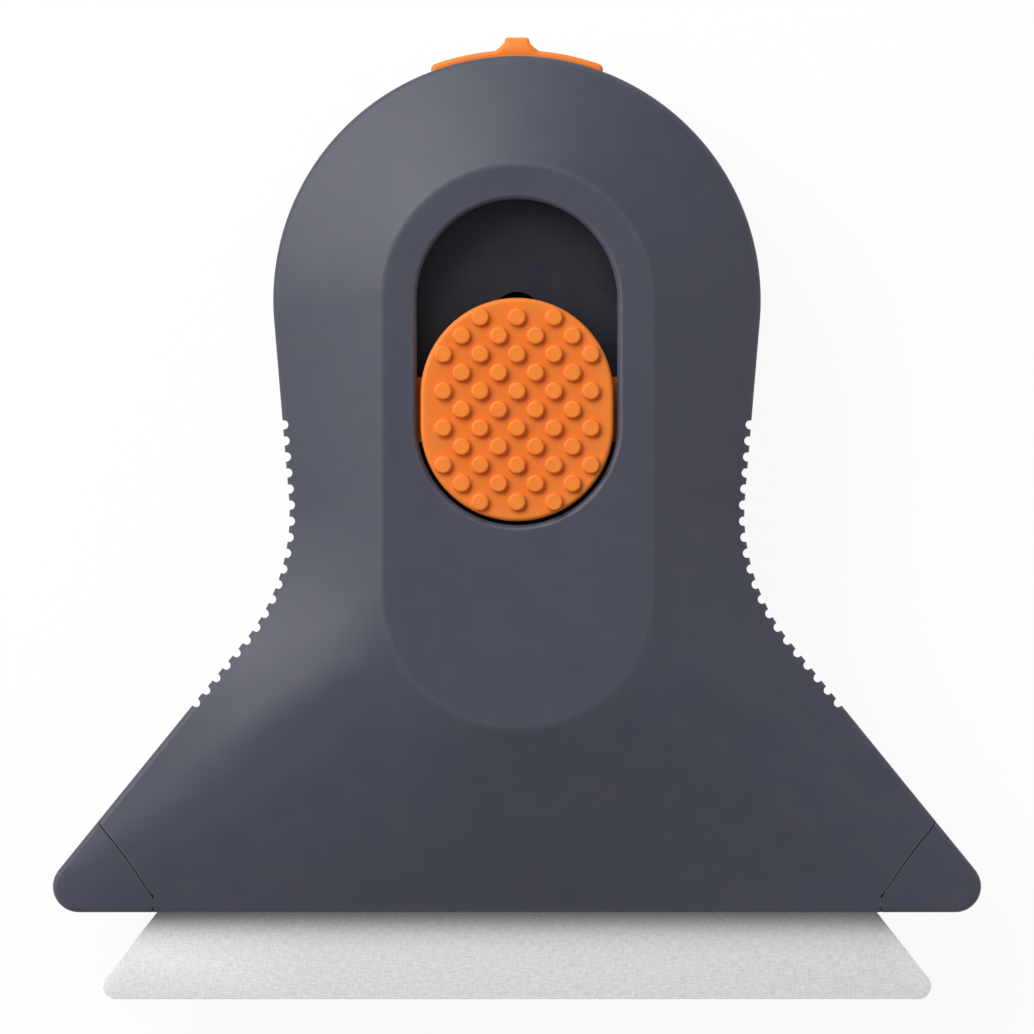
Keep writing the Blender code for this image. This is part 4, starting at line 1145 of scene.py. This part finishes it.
def plastic(name, rgb, rubbed_and_highlight_rgb, wear_and_highlight):
    """Moulded plastic: mottled colour, fine grain in bump and gloss, edges lightened by rubbing and by
    painted highlights, and a little dust.
    """
    roughness, grain, reflection, depth = PLASTICS[name]
    made, tree = new_material(name)
    height, mottle = place_group(tree, "moulded grain", grain, 90.0)
    base = blend_colour(tree, spread(tree, mottle, 0.0, 1.0), scaled(rgb, 0.965), scaled(rgb, 1.035))
    # Edges are lightened towards the rubbed colour: partly rubbing, partly a painted highlight
    base = blend_colour(tree, place_group(tree, "rubbed edges and painted highlights", wear_and_highlight)[0], base, rubbed_and_highlight_rgb)
    base = blend_colour(tree, place_group(tree, "settled dust", 0.05)[0], base, DUST)
    mixed = spread(tree, height, roughness - 0.03, roughness + 0.03)
    shader = coat(tree, base, mixed, bump(tree, height, 0.35, depth))
    shader["Specular IOR Level"].default_value = reflection
    return made


def ceramic(name, rgb):
    """Pale ceramic with a fine linen grain: two fine noises drawn out across and along the blade."""
    made, tree = new_material(name)
    across = noise(tree, 5000.0, 1.0, (0.22, 1.0, 1.0))
    along = noise(tree, 5000.0, 1.0, (1.0, 0.22, 1.0))
    linen = mean_of(tree, across, along)
    base = blend_colour(tree, spread(tree, linen, 0.0, 1.0), scaled(rgb, 0.82), scaled(rgb, 1.09))
    mottle = place_group(tree, "moulded grain", 2500.0, 45.0)[1]
    base = blend_colour(tree, spread(tree, mottle, 0.0, 0.08), base, scaled(rgb, 0.92))
    base = blend_colour(tree, place_group(tree, "settled dust", 0.03)[0], base, PALE_DUST)
    coat(tree, base, spread(tree, linen, 0.38, 0.50), bump(tree, linen, 1.0, 0.00006))
    return made


def steel(name, rgb):
    """Drawn steel: fine streaks in colour and gloss, and edges rubbed bright."""
    made, tree = new_material(name)
    streaks = noise(tree, 2600.0, 3.0, (0.12, 1.0, 1.0))
    base = blend_colour(tree, spread(tree, streaks, 0.0, 1.0), scaled(rgb, 0.86), scaled(rgb, 1.08))
    base = blend_colour(tree, place_group(tree, "rubbed edges and painted highlights", 0.5)[0], base, BRIGHT_STEEL)
    shader = coat(tree, base, spread(tree, streaks, 0.24, 0.40), bump(tree, streaks, 0.2, 0.000005))
    shader["Metallic"].default_value = 1.0
    return made


def finished(name):
    """The material of one finish, made the first time that a piece asks for it."""
    known = bpy.data.materials.get(name)
    if known:
        return known
    colours = finish()
    dark, bright = tuple(colours.rubbed), tuple(colours.rubbed_and_highlight_orange)
    makers = {
        "shell plastic": lambda: plastic(name, tuple(colours.shell), dark, colours.wear_and_highlight),
        "track plastic": lambda: plastic(name, tuple(colours.floor), dark, colours.wear_and_highlight),
        "orange plastic": lambda: plastic(name, tuple(colours.orange), bright, 1.0),
        "carrier plastic": lambda: plastic(name, tuple(colours.carrier), dark, colours.wear_and_highlight),
        "blade ceramic": lambda: ceramic(name, tuple(colours.blade)),
        "drawn steel": lambda: steel(name, tuple(colours.steel)),
    }
    return makers[name]()


# Operators, one a piece or a group of like pieces


class SCRAPER_OT_front_cover(bpy.types.Operator):
    """Make the front cover with its slot, notches, hold ribs and crown wall"""

    bl_idname = "scraper.front_cover"
    bl_label = "Front cover"

    def execute(self, context):
        surface, weights = cover_surface()
        moulding("front_cover_shell", surface, "cover", "front_cover", "shell", weights)
        ribs = []
        for _, mirror in SIDES:
            outline = rib_outline(mirror * HOLD_RIB_X, HOLD_RIB_LOW, HOLD_RIB_HIGH)
            ribs.append(prism(outline, GAP_HALF, HINGE_LEVEL + WALL, sizes().rail_soft))
        moulding("cover_hold_ribs", joined(ribs), "cover", "front_cover", "shell")
        wall = crown_wall(WALL, -CROWN_HALF, CROWN_HALF, CLEARANCE, RIM_AT_DOME)
        moulding("cover_crown_wall", wall, "cover", "front_cover", "shell")
        return {"FINISHED"}


def rib_outline(middle, low, high):
    """An anticlockwise rectangle as wide as a rail, with a point every millimetre or so of its length."""
    steps = max(int((high - low) / 0.001), 2)
    up = np.linspace(low, high, steps)
    right_side = np.column_stack((np.full(steps, middle + RAIL_THICKNESS / 2), up))
    left_side = np.column_stack((np.full(steps, middle - RAIL_THICKNESS / 2), up[::-1]))
    return np.concatenate((right_side, left_side))


def crown_wall(thickness, left, right, low, high):
    """A wall behind the latch's pocket: a sector of a ring between two places across the crown."""
    centre = (0, DOME_HEIGHT)
    outer = POCKET_RADIUS - CLEARANCE / 2
    inner = POCKET_RADIUS - thickness + CLEARANCE
    outside = arc(centre, outer, math.acos(right / outer), math.acos(left / outer), 30)
    inside = arc(centre, inner, math.acos(left / inner), math.acos(right / inner), 30)
    return prism(np.concatenate((outside, inside)), low, high, sizes().rail_soft)


class SCRAPER_OT_back_shell(bpy.types.Operator):
    """Make the back shell with its rails, bosses, crown walls and screw counterbores"""

    bl_idname = "scraper.back_shell"
    bl_label = "Back shell"

    def execute(self, context):
        surface, weights = back_surface()
        shell = moulding("back_shell_body", surface, "handle", "back_shell", "shell", weights)
        bore, hole = HEAD_RADIUS + CLEARANCE, SHANK_RADIUS + CLEARANCE
        inside, cups = [], []
        for _, mirror in SIDES:
            place = (mirror * GUARD_SCREW_X, GUARD_SCREW_HEIGHT)
            profile = ((bore, -COUNTERBORE_DEPTH), (bore, -RIM_AT_DOME - WALL))
            carve(shell, turned(profile, place, 48))
            cup = (
                (GUARD_BOSS_RADIUS, -RIM_AT_MOUTH),
                (GUARD_BOSS_RADIUS, -GAP_HALF),
                (hole, -GAP_HALF),
                (hole, -COUNTERBORE_DEPTH),
                (bore, -COUNTERBORE_DEPTH),
                (bore, -RIM_AT_MOUTH),
            )
            cups.append(turned(cup, place, 40, loop=True))
            inside.append(guide_rail(mirror * RAIL_X))
            inside += [ear_boss((mirror * EAR_X, height)) for height in (EAR_LOW, EAR_HIGH)]
        moulding("back_rails_and_bosses", joined(inside), "handle", "back_shell", "shell")
        moulding("back_screw_cups", joined(cups), "handle", "back_shell", "shell")
        low, high = -RIM_AT_DOME, -CLEARANCE
        walls = [
            crown_wall(CROWN_WALL, -CROWN_HALF, -LUG_ROOM_LEFT, low, high),
            crown_wall(CROWN_WALL, LUG_ROOM_RIGHT, CROWN_HALF, low, high),
        ]
        moulding("back_crown_walls", joined(walls), "handle", "back_shell", "shell")
        return {"FINISHED"}


def guide_rail(middle):
    """A rail for the carrier, whose foot follows the back shell's inside, a little sunk into it."""
    outline = rib_outline(middle, RAIL_LOW, RAIL_HIGH)
    soft = sizes().rail_soft
    edge, normals, _ = whole_edge()
    lower = edge[:, 1] < LAND_LOW
    _, levels = inner_slope(edge[lower], normals[lower], 0, WALL)
    along = np.clip((outline[:, 1] - WALL) / (LAND_LOW - LAND_HALF - WALL), 0, 1)
    foot = crowned(float(levels.min()), HALF_THICKNESS - WALL, along) + WALL / 4
    inset = outline + inward(outline) * soft
    return skin((lifted(outline, -foot), lifted(outline, RAIL_TOP - soft), lifted(inset, RAIL_TOP)))


def ear_boss(place):
    """A hollow boss from the back shell's inside up to an ear of the track plate."""
    soft = sizes().rail_soft
    floor = WALL / 2 - HALF_THICKNESS
    hole = SHANK_RADIUS + CLEARANCE
    profile = (
        (BOSS_RADIUS, floor + WALL),
        (BOSS_RADIUS, BOSS_TOP - soft),
        (BOSS_RADIUS - soft, BOSS_TOP),
        (hole + soft, BOSS_TOP),
        (hole, BOSS_TOP - soft),
        (hole, 0),
    )
    return turned(profile, place, 40)


class SCRAPER_OT_corner_guards(bpy.types.Operator):
    """Make the two corner guards that the front cover turns between"""

    bl_idname = "scraper.corner_guards"
    bl_label = "Corner guards"

    def execute(self, context):
        for name, mirror in SIDES:
            surface, weights = guard_surface(mirror)
            moulding(f"{name}_corner_guard", surface, "handle", f"{name}_guard", "shell", weights)
        return {"FINISHED"}


class SCRAPER_OT_thumb_pad(bpy.types.Operator):
    """Make the dished thumb pad with its staggered round bumps"""

    bl_idname = "scraper.thumb_pad"
    bl_label = "Thumb pad"

    def execute(self, context):
        surface, weights = pad_surface()
        moulding("bumpy_thumb_pad", surface, "carriage", "thumb_pad", "orange", weights)
        return {"FINISHED"}


def bump_places():
    """Middles of the bumps: rows half a pitch apart, each centred, counted from the top."""
    row = np.repeat(np.arange(len(BUMP_ROWS)), BUMP_ROWS)
    column = np.concatenate([np.arange(count) - (count - 1) / 2 for count in BUMP_ROWS])
    height = PAD_MIDDLE + (len(BUMP_ROWS) // 2 - row) * BUMP_PITCH / 2
    return np.column_stack((column * BUMP_PITCH, height))


def dish_level(place):
    """The pad's face: sunk by the dish times one less the squared share of the way to its edge."""
    _, away = from_middle(place, PAD_LOW, PAD_HIGH)
    out = np.linalg.norm(away, axis=1) / PAD_HALF
    return PAD_TOP - sizes().pad_dish * (1 - np.clip(out, 0, 1) ** 2)


def pad_surface():
    """The pad as rows of oblongs from its underside over its round edge to the dished face, and its bumps.

    A bump's rows are circles: upright sides, then a quarter-round of the bump's own edge radius.
    """
    radius = sizes().pad_round
    soft = sizes().edge_soft
    rows = [lifted(stadium(PAD_HALF - soft, PAD_LOW, PAD_HIGH), PAD_BOTTOM)]
    rows.append(lifted(stadium(PAD_HALF, PAD_LOW, PAD_HIGH), PAD_BOTTOM + soft))
    weights = [0.0, 0.0]
    # The pad's round edge is lighter, a painted highlight
    for turn in np.linspace(0, math.pi / 2, 8):
        inset = radius * (1 - math.cos(turn))
        level = PAD_TOP - radius * (1 - math.sin(turn))
        rows.append(lifted(stadium(PAD_HALF - inset, PAD_LOW, PAD_HIGH), level))
        weights.append(0.6)
    # The face is lighter at its border and leaves the dished middle darker: painted highlight and painted
    # shade
    for reach, weight in PAD_RINGS:
        place = stadium(PAD_HALF * reach, PAD_LOW, PAD_HIGH)
        rows.append(lifted(place, dish_level(place)))
        weights.append(weight)
    body = skin(rows)
    weights = np.repeat(weights, rows[0].shape[0])
    places = bump_places()
    edge = sizes().bump_round
    turns = np.linspace(0, math.pi / 2, 6)
    radii = np.concatenate(([BUMP_RADIUS], BUMP_RADIUS - edge * (1 - np.cos(turns))))
    radii = np.append(radii, 0.9 * radii[-1])
    top = PAD_TOP + BUMP_HEIGHT
    levels = np.concatenate(([PAD_BOTTOM + radius], top - edge * (1 - np.sin(turns)), [top]))
    one = turned(np.column_stack((radii, levels)), (0, 0), BUMP_STEPS)
    bumps = [(one[0] + (*place, 0), one[1]) for place in places]
    peg = ((PEG_RADIUS, PEG_LOW), (PEG_RADIUS, PAD_BOTTOM + radius))
    pegs = [turned(peg, (mirror * PEG_OFFSET, PAD_MIDDLE)) for _, mirror in SIDES]
    rest = joined([*bumps, *pegs])
    # Bump tops are lighter, a painted highlight
    around = np.tile(np.repeat(BUMP_TOP_HIGHLIGHT, BUMP_STEPS), len(places))
    bare = np.zeros(len(rest[0]) - len(around))
    return joined([body, rest]), np.concatenate((weights, around, bare))


class SCRAPER_OT_crown_latch(bpy.types.Operator):
    """Make the latch strap over the crown, with its nib and the lug that turns on its pin"""

    bl_idname = "scraper.crown_latch"
    bl_label = "Crown latch"

    def execute(self, context):
        strap, weights = strap_surface()
        moulding("crown_latch_strap", strap, "latch", "latch", "orange", weights)
        moulding("crown_latch_lug", lug_surface(), "latch", "latch", "orange")
        return {"FINISHED"}


def about_dome(distance, turn):
    """Points at a distance from the dome's middle and a turn to the right of the crown."""
    return np.column_stack((distance * np.sin(turn), DOME_HEIGHT + distance * np.cos(turn)))


def strap_outline():
    """The strap's outer line from its right inner corner over the end, the arc and the nib, and back.

    The end's angle gives way by radius less the root of radius squared less the depth squared, over the
    distance from the dome's middle, at the outer corner and, less, at the inner one. The nib's half
    width widens towards its foot by a power of the share of the way down.
    """
    reach = math.asin(STRAP_HALF / STRAP_OUTER)
    large = sizes().strap_end
    small = large / 2
    rise = STRAP_INNER + (STRAP_OUTER - STRAP_INNER) * (1 - np.cos(np.linspace(0, math.pi, 25))) / 2
    outer_depth = np.clip(rise - (STRAP_OUTER - large), 0, large)
    inner_depth = np.clip(STRAP_INNER + small - rise, 0, small)
    give = large - np.sqrt(large**2 - outer_depth**2) + small - np.sqrt(small**2 - inner_depth**2)
    turn = reach - give / rise
    end = about_dome(rise, turn)
    over = about_dome(STRAP_OUTER, np.linspace(turn[-1], math.asin(NIB_BASE_HALF / STRAP_OUTER), 40)[1:])
    left = np.linspace(1, 0, 16)[1:]
    shoulder = NIB_TOP - small
    half = NIB_TOP_HALF + (NIB_BASE_HALF - NIB_TOP_HALF) * left**NIB_CURVE
    side = np.column_stack((half, shoulder - (shoulder - over[-1, 1]) * left))
    top = arc((NIB_TOP_HALF - small, shoulder), small, 0, math.pi / 2, 8)[1:]
    flat = between(top[-1], (0, NIB_TOP), 8)
    right = np.concatenate((end, over, side, top, flat, [(0, NIB_TOP)]))
    return np.concatenate((right, right[-2::-1] * (-1, 1)))


def strap_surface():
    """The strap as closed loops across it: its face from the inner arc to the outer line, and its back.

    The face drops towards both lines by the round's radius less the root of radius squared less what
    is left of it squared, and it slopes down over the nib's outer half.
    """
    outer = strap_outline()
    centre = np.array((0, DOME_HEIGHT))
    reach = np.linalg.norm(outer - centre, axis=1)
    inner = centre + (outer - centre) * (STRAP_INNER / reach)[:, None]
    shares = np.array((0, 0.04, 0.09, 0.16, 0.3, 0.45, 0.6, 0.7, 0.78, 0.85, 0.9, 0.94, 0.97, 0.99, 1))
    face = inner[:, None] * (1 - shares[:, None]) + outer[:, None] * shares[:, None]
    flat = face.reshape(-1, 2)
    near = np.linalg.norm(flat[:, None] - outer[None], axis=2).min(axis=1)
    near = near.reshape(face.shape[:2])
    out = np.linalg.norm(face - centre, axis=2)

    def drop(distance, radius):
        left = np.clip(radius - distance, 0, radius)
        return radius - np.sqrt(radius**2 - left**2)

    radius = sizes().strap_round
    small = radius / 2
    nib_slope = NIB_SLOPE * np.clip(out - STRAP_OUTER - small, 0, None)
    level = STRAP_TOP - np.maximum(drop(near, radius), drop(out - STRAP_INNER, small)) - nib_slope
    back = -STRAP_BOTTOM + np.maximum(drop(near, small), drop(out - STRAP_INNER, small))
    upper = np.concatenate((face, level[..., None]), axis=2)
    lower = np.concatenate((face, back[..., None]), axis=2)[:, ::-1]
    loops = np.concatenate((upper, lower), axis=1)
    # Painted highlight: the whole face a little, its outer edge more, and the nib's tip most
    tip = (out - STRAP_OUTER) / (NIB_TOP - DOME_HEIGHT - STRAP_OUTER) * NIB_HIGHLIGHT_GAIN - NIB_HIGHLIGHT_START
    tip = np.clip(tip, 0, 1)
    weight = np.maximum(np.clip(1 - near / radius, 0, 1) * 0.4 + 0.4, tip)
    weight = np.concatenate((weight, weight[:, ::-1]), axis=1)
    return skin(loops), weight


def lug_surface():
    """The lug as a loop of four rows: its outline at both ends and its round hole at both ends.

    The outline is round below the pin, and above it two upright sides run up into the strap.
    """
    turns = np.linspace(0, math.tau, 48, endpoint=False)
    up, across = np.cos(turns), np.sin(turns)
    hole = PIN_RADIUS + CLEARANCE
    reach = DOME_HEIGHT + STRAP_INNER + CLEARANCE - PIN_HEIGHT
    run = np.minimum(reach, LUG_RADIUS / np.maximum(np.abs(across), 1e-6))
    run = np.minimum(run, reach / np.maximum(up, 1e-6))
    radius = np.maximum(np.where(up > 0, run, 0), LUG_RADIUS)

    def row(x, distance):
        place = (np.full(len(turns), x), PIN_HEIGHT + distance * up, -PIN_DEPTH + distance * across)
        return np.column_stack(place)

    rows = ((-LUG_HALF, radius), (LUG_HALF, radius), (LUG_HALF, hole), (-LUG_HALF, hole))
    return skin([row(x, distance) for x, distance in rows], loop=True)


class SCRAPER_OT_blade(bpy.types.Operator):
    """Make the blade with its ground edges and the holes for the carrier's pegs"""

    bl_idname = "scraper.blade"
    bl_label = "Blade"

    def execute(self, context):
        half = BLADE_THICKNESS / 2
        surface = prism(blade_outline(), -half, half, sizes().blade_soft)
        blade = moulding("ground_blade", surface, "carriage", "blade", "blade")
        radius = BLADE_PEG_RADIUS + CLEARANCE
        for _, mirror in SIDES:
            place = (mirror * BLADE_PEG_X, BLADE_PEG_HEIGHT)
            carve(blade, turned(((radius, -half * 3), (radius, half * 3)), place, 56))
        return {"FINISHED"}


def blade_outline():
    """Anticlockwise: a wide straight edge with small round corners, and slanted sides up to the back."""
    corner_x = BLADE_HALF - BLADE_CORNER
    centre = (corner_x, BLADE_CORNER - BLADE_OUT)
    corner = arc(centre, BLADE_CORNER, -math.pi / 2, BLADE_TILT, 16)
    foot = corner[-1]
    top_half = foot[0] - (BLADE_TOP - foot[1]) * math.tan(BLADE_TILT)
    side = between(foot, (top_half, BLADE_TOP), 30)
    back_corner = np.array([(top_half, BLADE_TOP)])
    back = between((top_half, BLADE_TOP), (0, BLADE_TOP), 20)
    edge = between((0, -BLADE_OUT), corner[0], 50)
    right = np.concatenate((edge, corner, side, back_corner, back))
    left = right[::-1] * (-1, 1)
    return np.concatenate(([(0, -BLADE_OUT)], right, [(0, BLADE_TOP)], left))


class SCRAPER_OT_screws(bpy.types.Operator):
    """Make the pan-head screws of the guards, the track plate and the slide yoke"""

    bl_idname = "scraper.screws"
    bl_label = "Screws"

    def execute(self, context):
        for name, mirror in SIDES:
            place = (mirror * GUARD_SCREW_X, GUARD_SCREW_HEIGHT)
            add_screw(f"{name}_guard_screw", place, GUARD_HEAD_LEVEL, 1, GUARD_SHANK, "handle")
            place = (mirror * YOKE_SCREW_X, PAD_MIDDLE)
            add_screw(f"{name}_yoke_screw", place, YOKE_HEAD_LEVEL, 1, YOKE_SHANK, "carriage")
            for end, height in (("low", EAR_LOW), ("high", EAR_HIGH)):
                place = (mirror * EAR_X, height)
                add_screw(f"track_screw_{end}_{name}", place, TRACK_HEAD_LEVEL, -1, TRACK_SHANK, "handle")
        return {"FINISHED"}


def add_screw(node, place, head_level, direction, shank, body):
    """A screw for one node of the frame, measured against that node's own box."""
    low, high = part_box(node)
    lowest = low.z - HALF_THICKNESS
    highest = high.z - HALF_THICKNESS
    head = lowest if direction > 0 else highest
    tip = highest if direction > 0 else lowest
    if abs(head - head_level) > CLEARANCE or abs(abs(tip - head) - shank - HEAD_HEIGHT) > CLEARANCE:
        raise RuntimeError(f"{node} isn't where the frame has it: {lowest:.5f} to {highest:.5f}")
    surface = screw_surface(place, head, tip, direction)
    moulding(f"cross_{node}", surface, body, node, "steel")


def screw_surface(place, head, tip, direction):
    """A screw as rows of circles: a crowned head with a cross sunk into it, a plain shank and a blunt tip.

    The cross is as deep as the recess where the smaller of the two distances from its arms' middle lines
    is under the arm's half width, fading over a fifth of that, and it ends short of the head's edge.
    """
    ring = circle(64)
    arm, reach = HEAD_RADIUS * RECESS_ARM, HEAD_RADIUS * RECESS_REACH
    depth = sizes().recess_depth
    crown = HEAD_HEIGHT * HEAD_CROWN
    edge = HEAD_RADIUS * HEAD_EDGE
    rows = []
    for out in HEAD_SHARES * HEAD_RADIUS:
        off = np.abs(ring * out).min(axis=1)
        sunk = np.clip((arm - off) / (arm / 5), 0, 1) * np.clip((reach - out) / (arm / 5), 0, 1)
        level = head + direction * (crown * (out / HEAD_RADIUS) ** 2 + depth * sunk)
        rows.append(lifted(ring * out + place, level))
    start = head + direction * crown
    for turn in np.linspace(0, math.pi / 2, 4)[1:]:
        out = HEAD_RADIUS - edge * (1 - math.sin(turn))
        rows.append(lifted(ring * out + place, start + direction * edge * (1 - math.cos(turn))))
    under = head + direction * HEAD_HEIGHT
    rows.append(lifted(ring * HEAD_RADIUS + place, under))
    rows.append(lifted(ring * SHANK_RADIUS + place, under))
    rows.append(lifted(ring * SHANK_RADIUS + place, tip - direction * SHANK_RADIUS / 2))
    rows.append(lifted(ring * SHANK_RADIUS / 2 + place, tip))
    return skin(rows)


class SCRAPER_OT_inner_finishes(bpy.types.Operator):
    """Give the pieces that keep the frame's own shape their finishes"""

    bl_idname = "scraper.inner_finishes"
    bl_label = "Inner finishes"

    def execute(self, context):
        kept = {
            "track_plate": "track plastic",
            "slide_yoke": "orange plastic",
            "blade_carrier": "carrier plastic",
            "detent_spring": "drawn steel",
            "detent_rivet": "drawn steel",
            "latch_pin": "drawn steel",
            "latch_spring": "drawn steel",
            "left_hinge_pin": "drawn steel",
            "right_hinge_pin": "drawn steel",
        }
        for node, material in kept.items():
            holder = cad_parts[node]
            if not holder.material_slots:
                holder.data.materials.append(None)
            for held in holder.material_slots:
                held.material = finished(material)
        return {"FINISHED"}


class SCRAPER_OT_stage(bpy.types.Operator):
    """Set the floor, the soft lights, the pale surroundings and the camera above the tool"""

    bl_idname = "scraper.stage"
    bl_label = "Stage"

    def execute(self, context):
        scene = context.scene
        scene.view_settings.view_transform = "Standard"
        set_floor()
        set_surroundings(scene)
        for name, (place, size, power) in LAMPS.items():
            lamp(name, place, size, power)
        lens = bpy.data.cameras.new("camera")
        lens.sensor_width = 36.0
        lens.lens = lens.sensor_width * CAMERA_DISTANCE / VIEW_WIDTH
        lens.clip_start = 0.01
        lens.clip_end = 20.0
        camera = in_scene("camera", lens)
        camera.location = (0, CAMERA_SHIFT, HALF_THICKNESS + CAMERA_DISTANCE)
        scene.camera = camera
        return {"FINISHED"}


def shown_light(tree):
    """One for rays that see the surroundings: straight from the camera, in gloss or through glass."""
    path = tree.nodes.new("ShaderNodeLightPath")
    seen = math_node(tree, "ADD", path.outputs["Is Camera Ray"], path.outputs["Is Glossy Ray"])
    return math_node(tree, "ADD", seen, path.outputs["Is Transmission Ray"])


def show_apart(tree, output, amount, lit, shown):
    """Ends a node tree in one shader for light and, by an amount, another for rays that see it."""
    both = tree.nodes.new("ShaderNodeMixShader")
    filled(tree, both, {0: amount, 1: lit.outputs[0], 2: shown.outputs[0]})
    filled(tree, tree.nodes.new(output), {"Surface": both.outputs[0]})


def set_floor():
    """A wide pale floor that shows nearly white and keeps a faint shadow."""
    mesh = bpy.data.meshes.new("floor")
    corners = [(x * FLOOR_REACH, y * FLOOR_REACH) for x, y in ((-1, -1), (1, -1), (1, 1), (-1, 1))]
    mesh.from_pydata([(*corner, -FLOOR_DROP) for corner in corners], [], [(0, 1, 2, 3)])
    made, tree = new_material("pale floor")
    tree.nodes.clear()
    matt = filled(tree, tree.nodes.new("ShaderNodeBsdfDiffuse"), {"Color": (0.80, 0.80, 0.80)})
    white = {"Color": (1.0, 1.0, 1.0), "Strength": FLOOR_GLOW}
    glow = filled(tree, tree.nodes.new("ShaderNodeEmission"), white)
    amount = math_node(tree, "MULTIPLY", shown_light(tree), FLOOR_SHOWN)
    show_apart(tree, "ShaderNodeOutputMaterial", amount, matt, glow)
    mesh.materials.append(made)
    floor = in_scene("floor", mesh)


def set_surroundings(scene):
    """Soft even light from all round, seen as white."""
    world = bpy.data.worlds.new("studio")
    world.use_nodes = True
    tree = world.node_tree
    tree.nodes.clear()
    even, white = (
        filled(tree, tree.nodes.new("ShaderNodeBackground"), {"Strength": strength})
        for strength in (EVEN_LIGHT, 1.0)
    )
    show_apart(tree, "ShaderNodeOutputWorld", shown_light(tree), even, white)
    scene.world = world


def lamp(name, place, size, power):
    """A rectangular soft light at a place, turned towards the tool."""
    light = bpy.data.lights.new(name, "AREA")
    light.shape = "RECTANGLE"
    light.size, light.size_y = size
    light.energy = power
    made = in_scene(name, light)
    made.location = place
    made.rotation_mode = "QUATERNION"
    made.rotation_quaternion = (-made.location).to_track_quat("-Z", "Y")


class SCRAPER_PT_pieces(bpy.types.Panel):
    """Sizes, colours and buttons for the scraper's pieces"""

    bl_label = "Hand scraper"
    bl_idname = "SCRAPER_PT_pieces"
    bl_space_type = "VIEW_3D"
    bl_region_type = "UI"
    bl_category = "Scraper"

    def draw(self, context):
        column = self.layout.column()
        for operator in OPERATORS:
            column.operator(operator.bl_idname)
        for group in (context.scene.scraper_sizes, context.scene.scraper_finish):
            for name in group.__annotations__:
                column.prop(group, name)


OPERATORS = (
    SCRAPER_OT_front_cover,
    SCRAPER_OT_back_shell,
    SCRAPER_OT_corner_guards,
    SCRAPER_OT_thumb_pad,
    SCRAPER_OT_crown_latch,
    SCRAPER_OT_blade,
    SCRAPER_OT_screws,
    SCRAPER_OT_inner_finishes,
    SCRAPER_OT_stage,
)
CLASSES = (ScraperSizes, ScraperFinish, *OPERATORS, SCRAPER_PT_pieces)


def register():
    for made in CLASSES:
        bpy.utils.register_class(made)
    bpy.types.Scene.scraper_sizes = bpy.props.PointerProperty(type=ScraperSizes)
    bpy.types.Scene.scraper_finish = bpy.props.PointerProperty(type=ScraperFinish)


def unregister():
    del bpy.types.Scene.scraper_finish
    del bpy.types.Scene.scraper_sizes
    for made in reversed(CLASSES):
        bpy.utils.unregister_class(made)


def main():
    register()
    bpy.ops.scraper.front_cover()
    bpy.ops.scraper.back_shell()
    bpy.ops.scraper.corner_guards()
    bpy.ops.scraper.thumb_pad()
    bpy.ops.scraper.crown_latch()
    bpy.ops.scraper.blade()
    bpy.ops.scraper.screws()
    bpy.ops.scraper.inner_finishes()
    bpy.ops.scraper.stage()


if __name__ == "__main__":
    main()
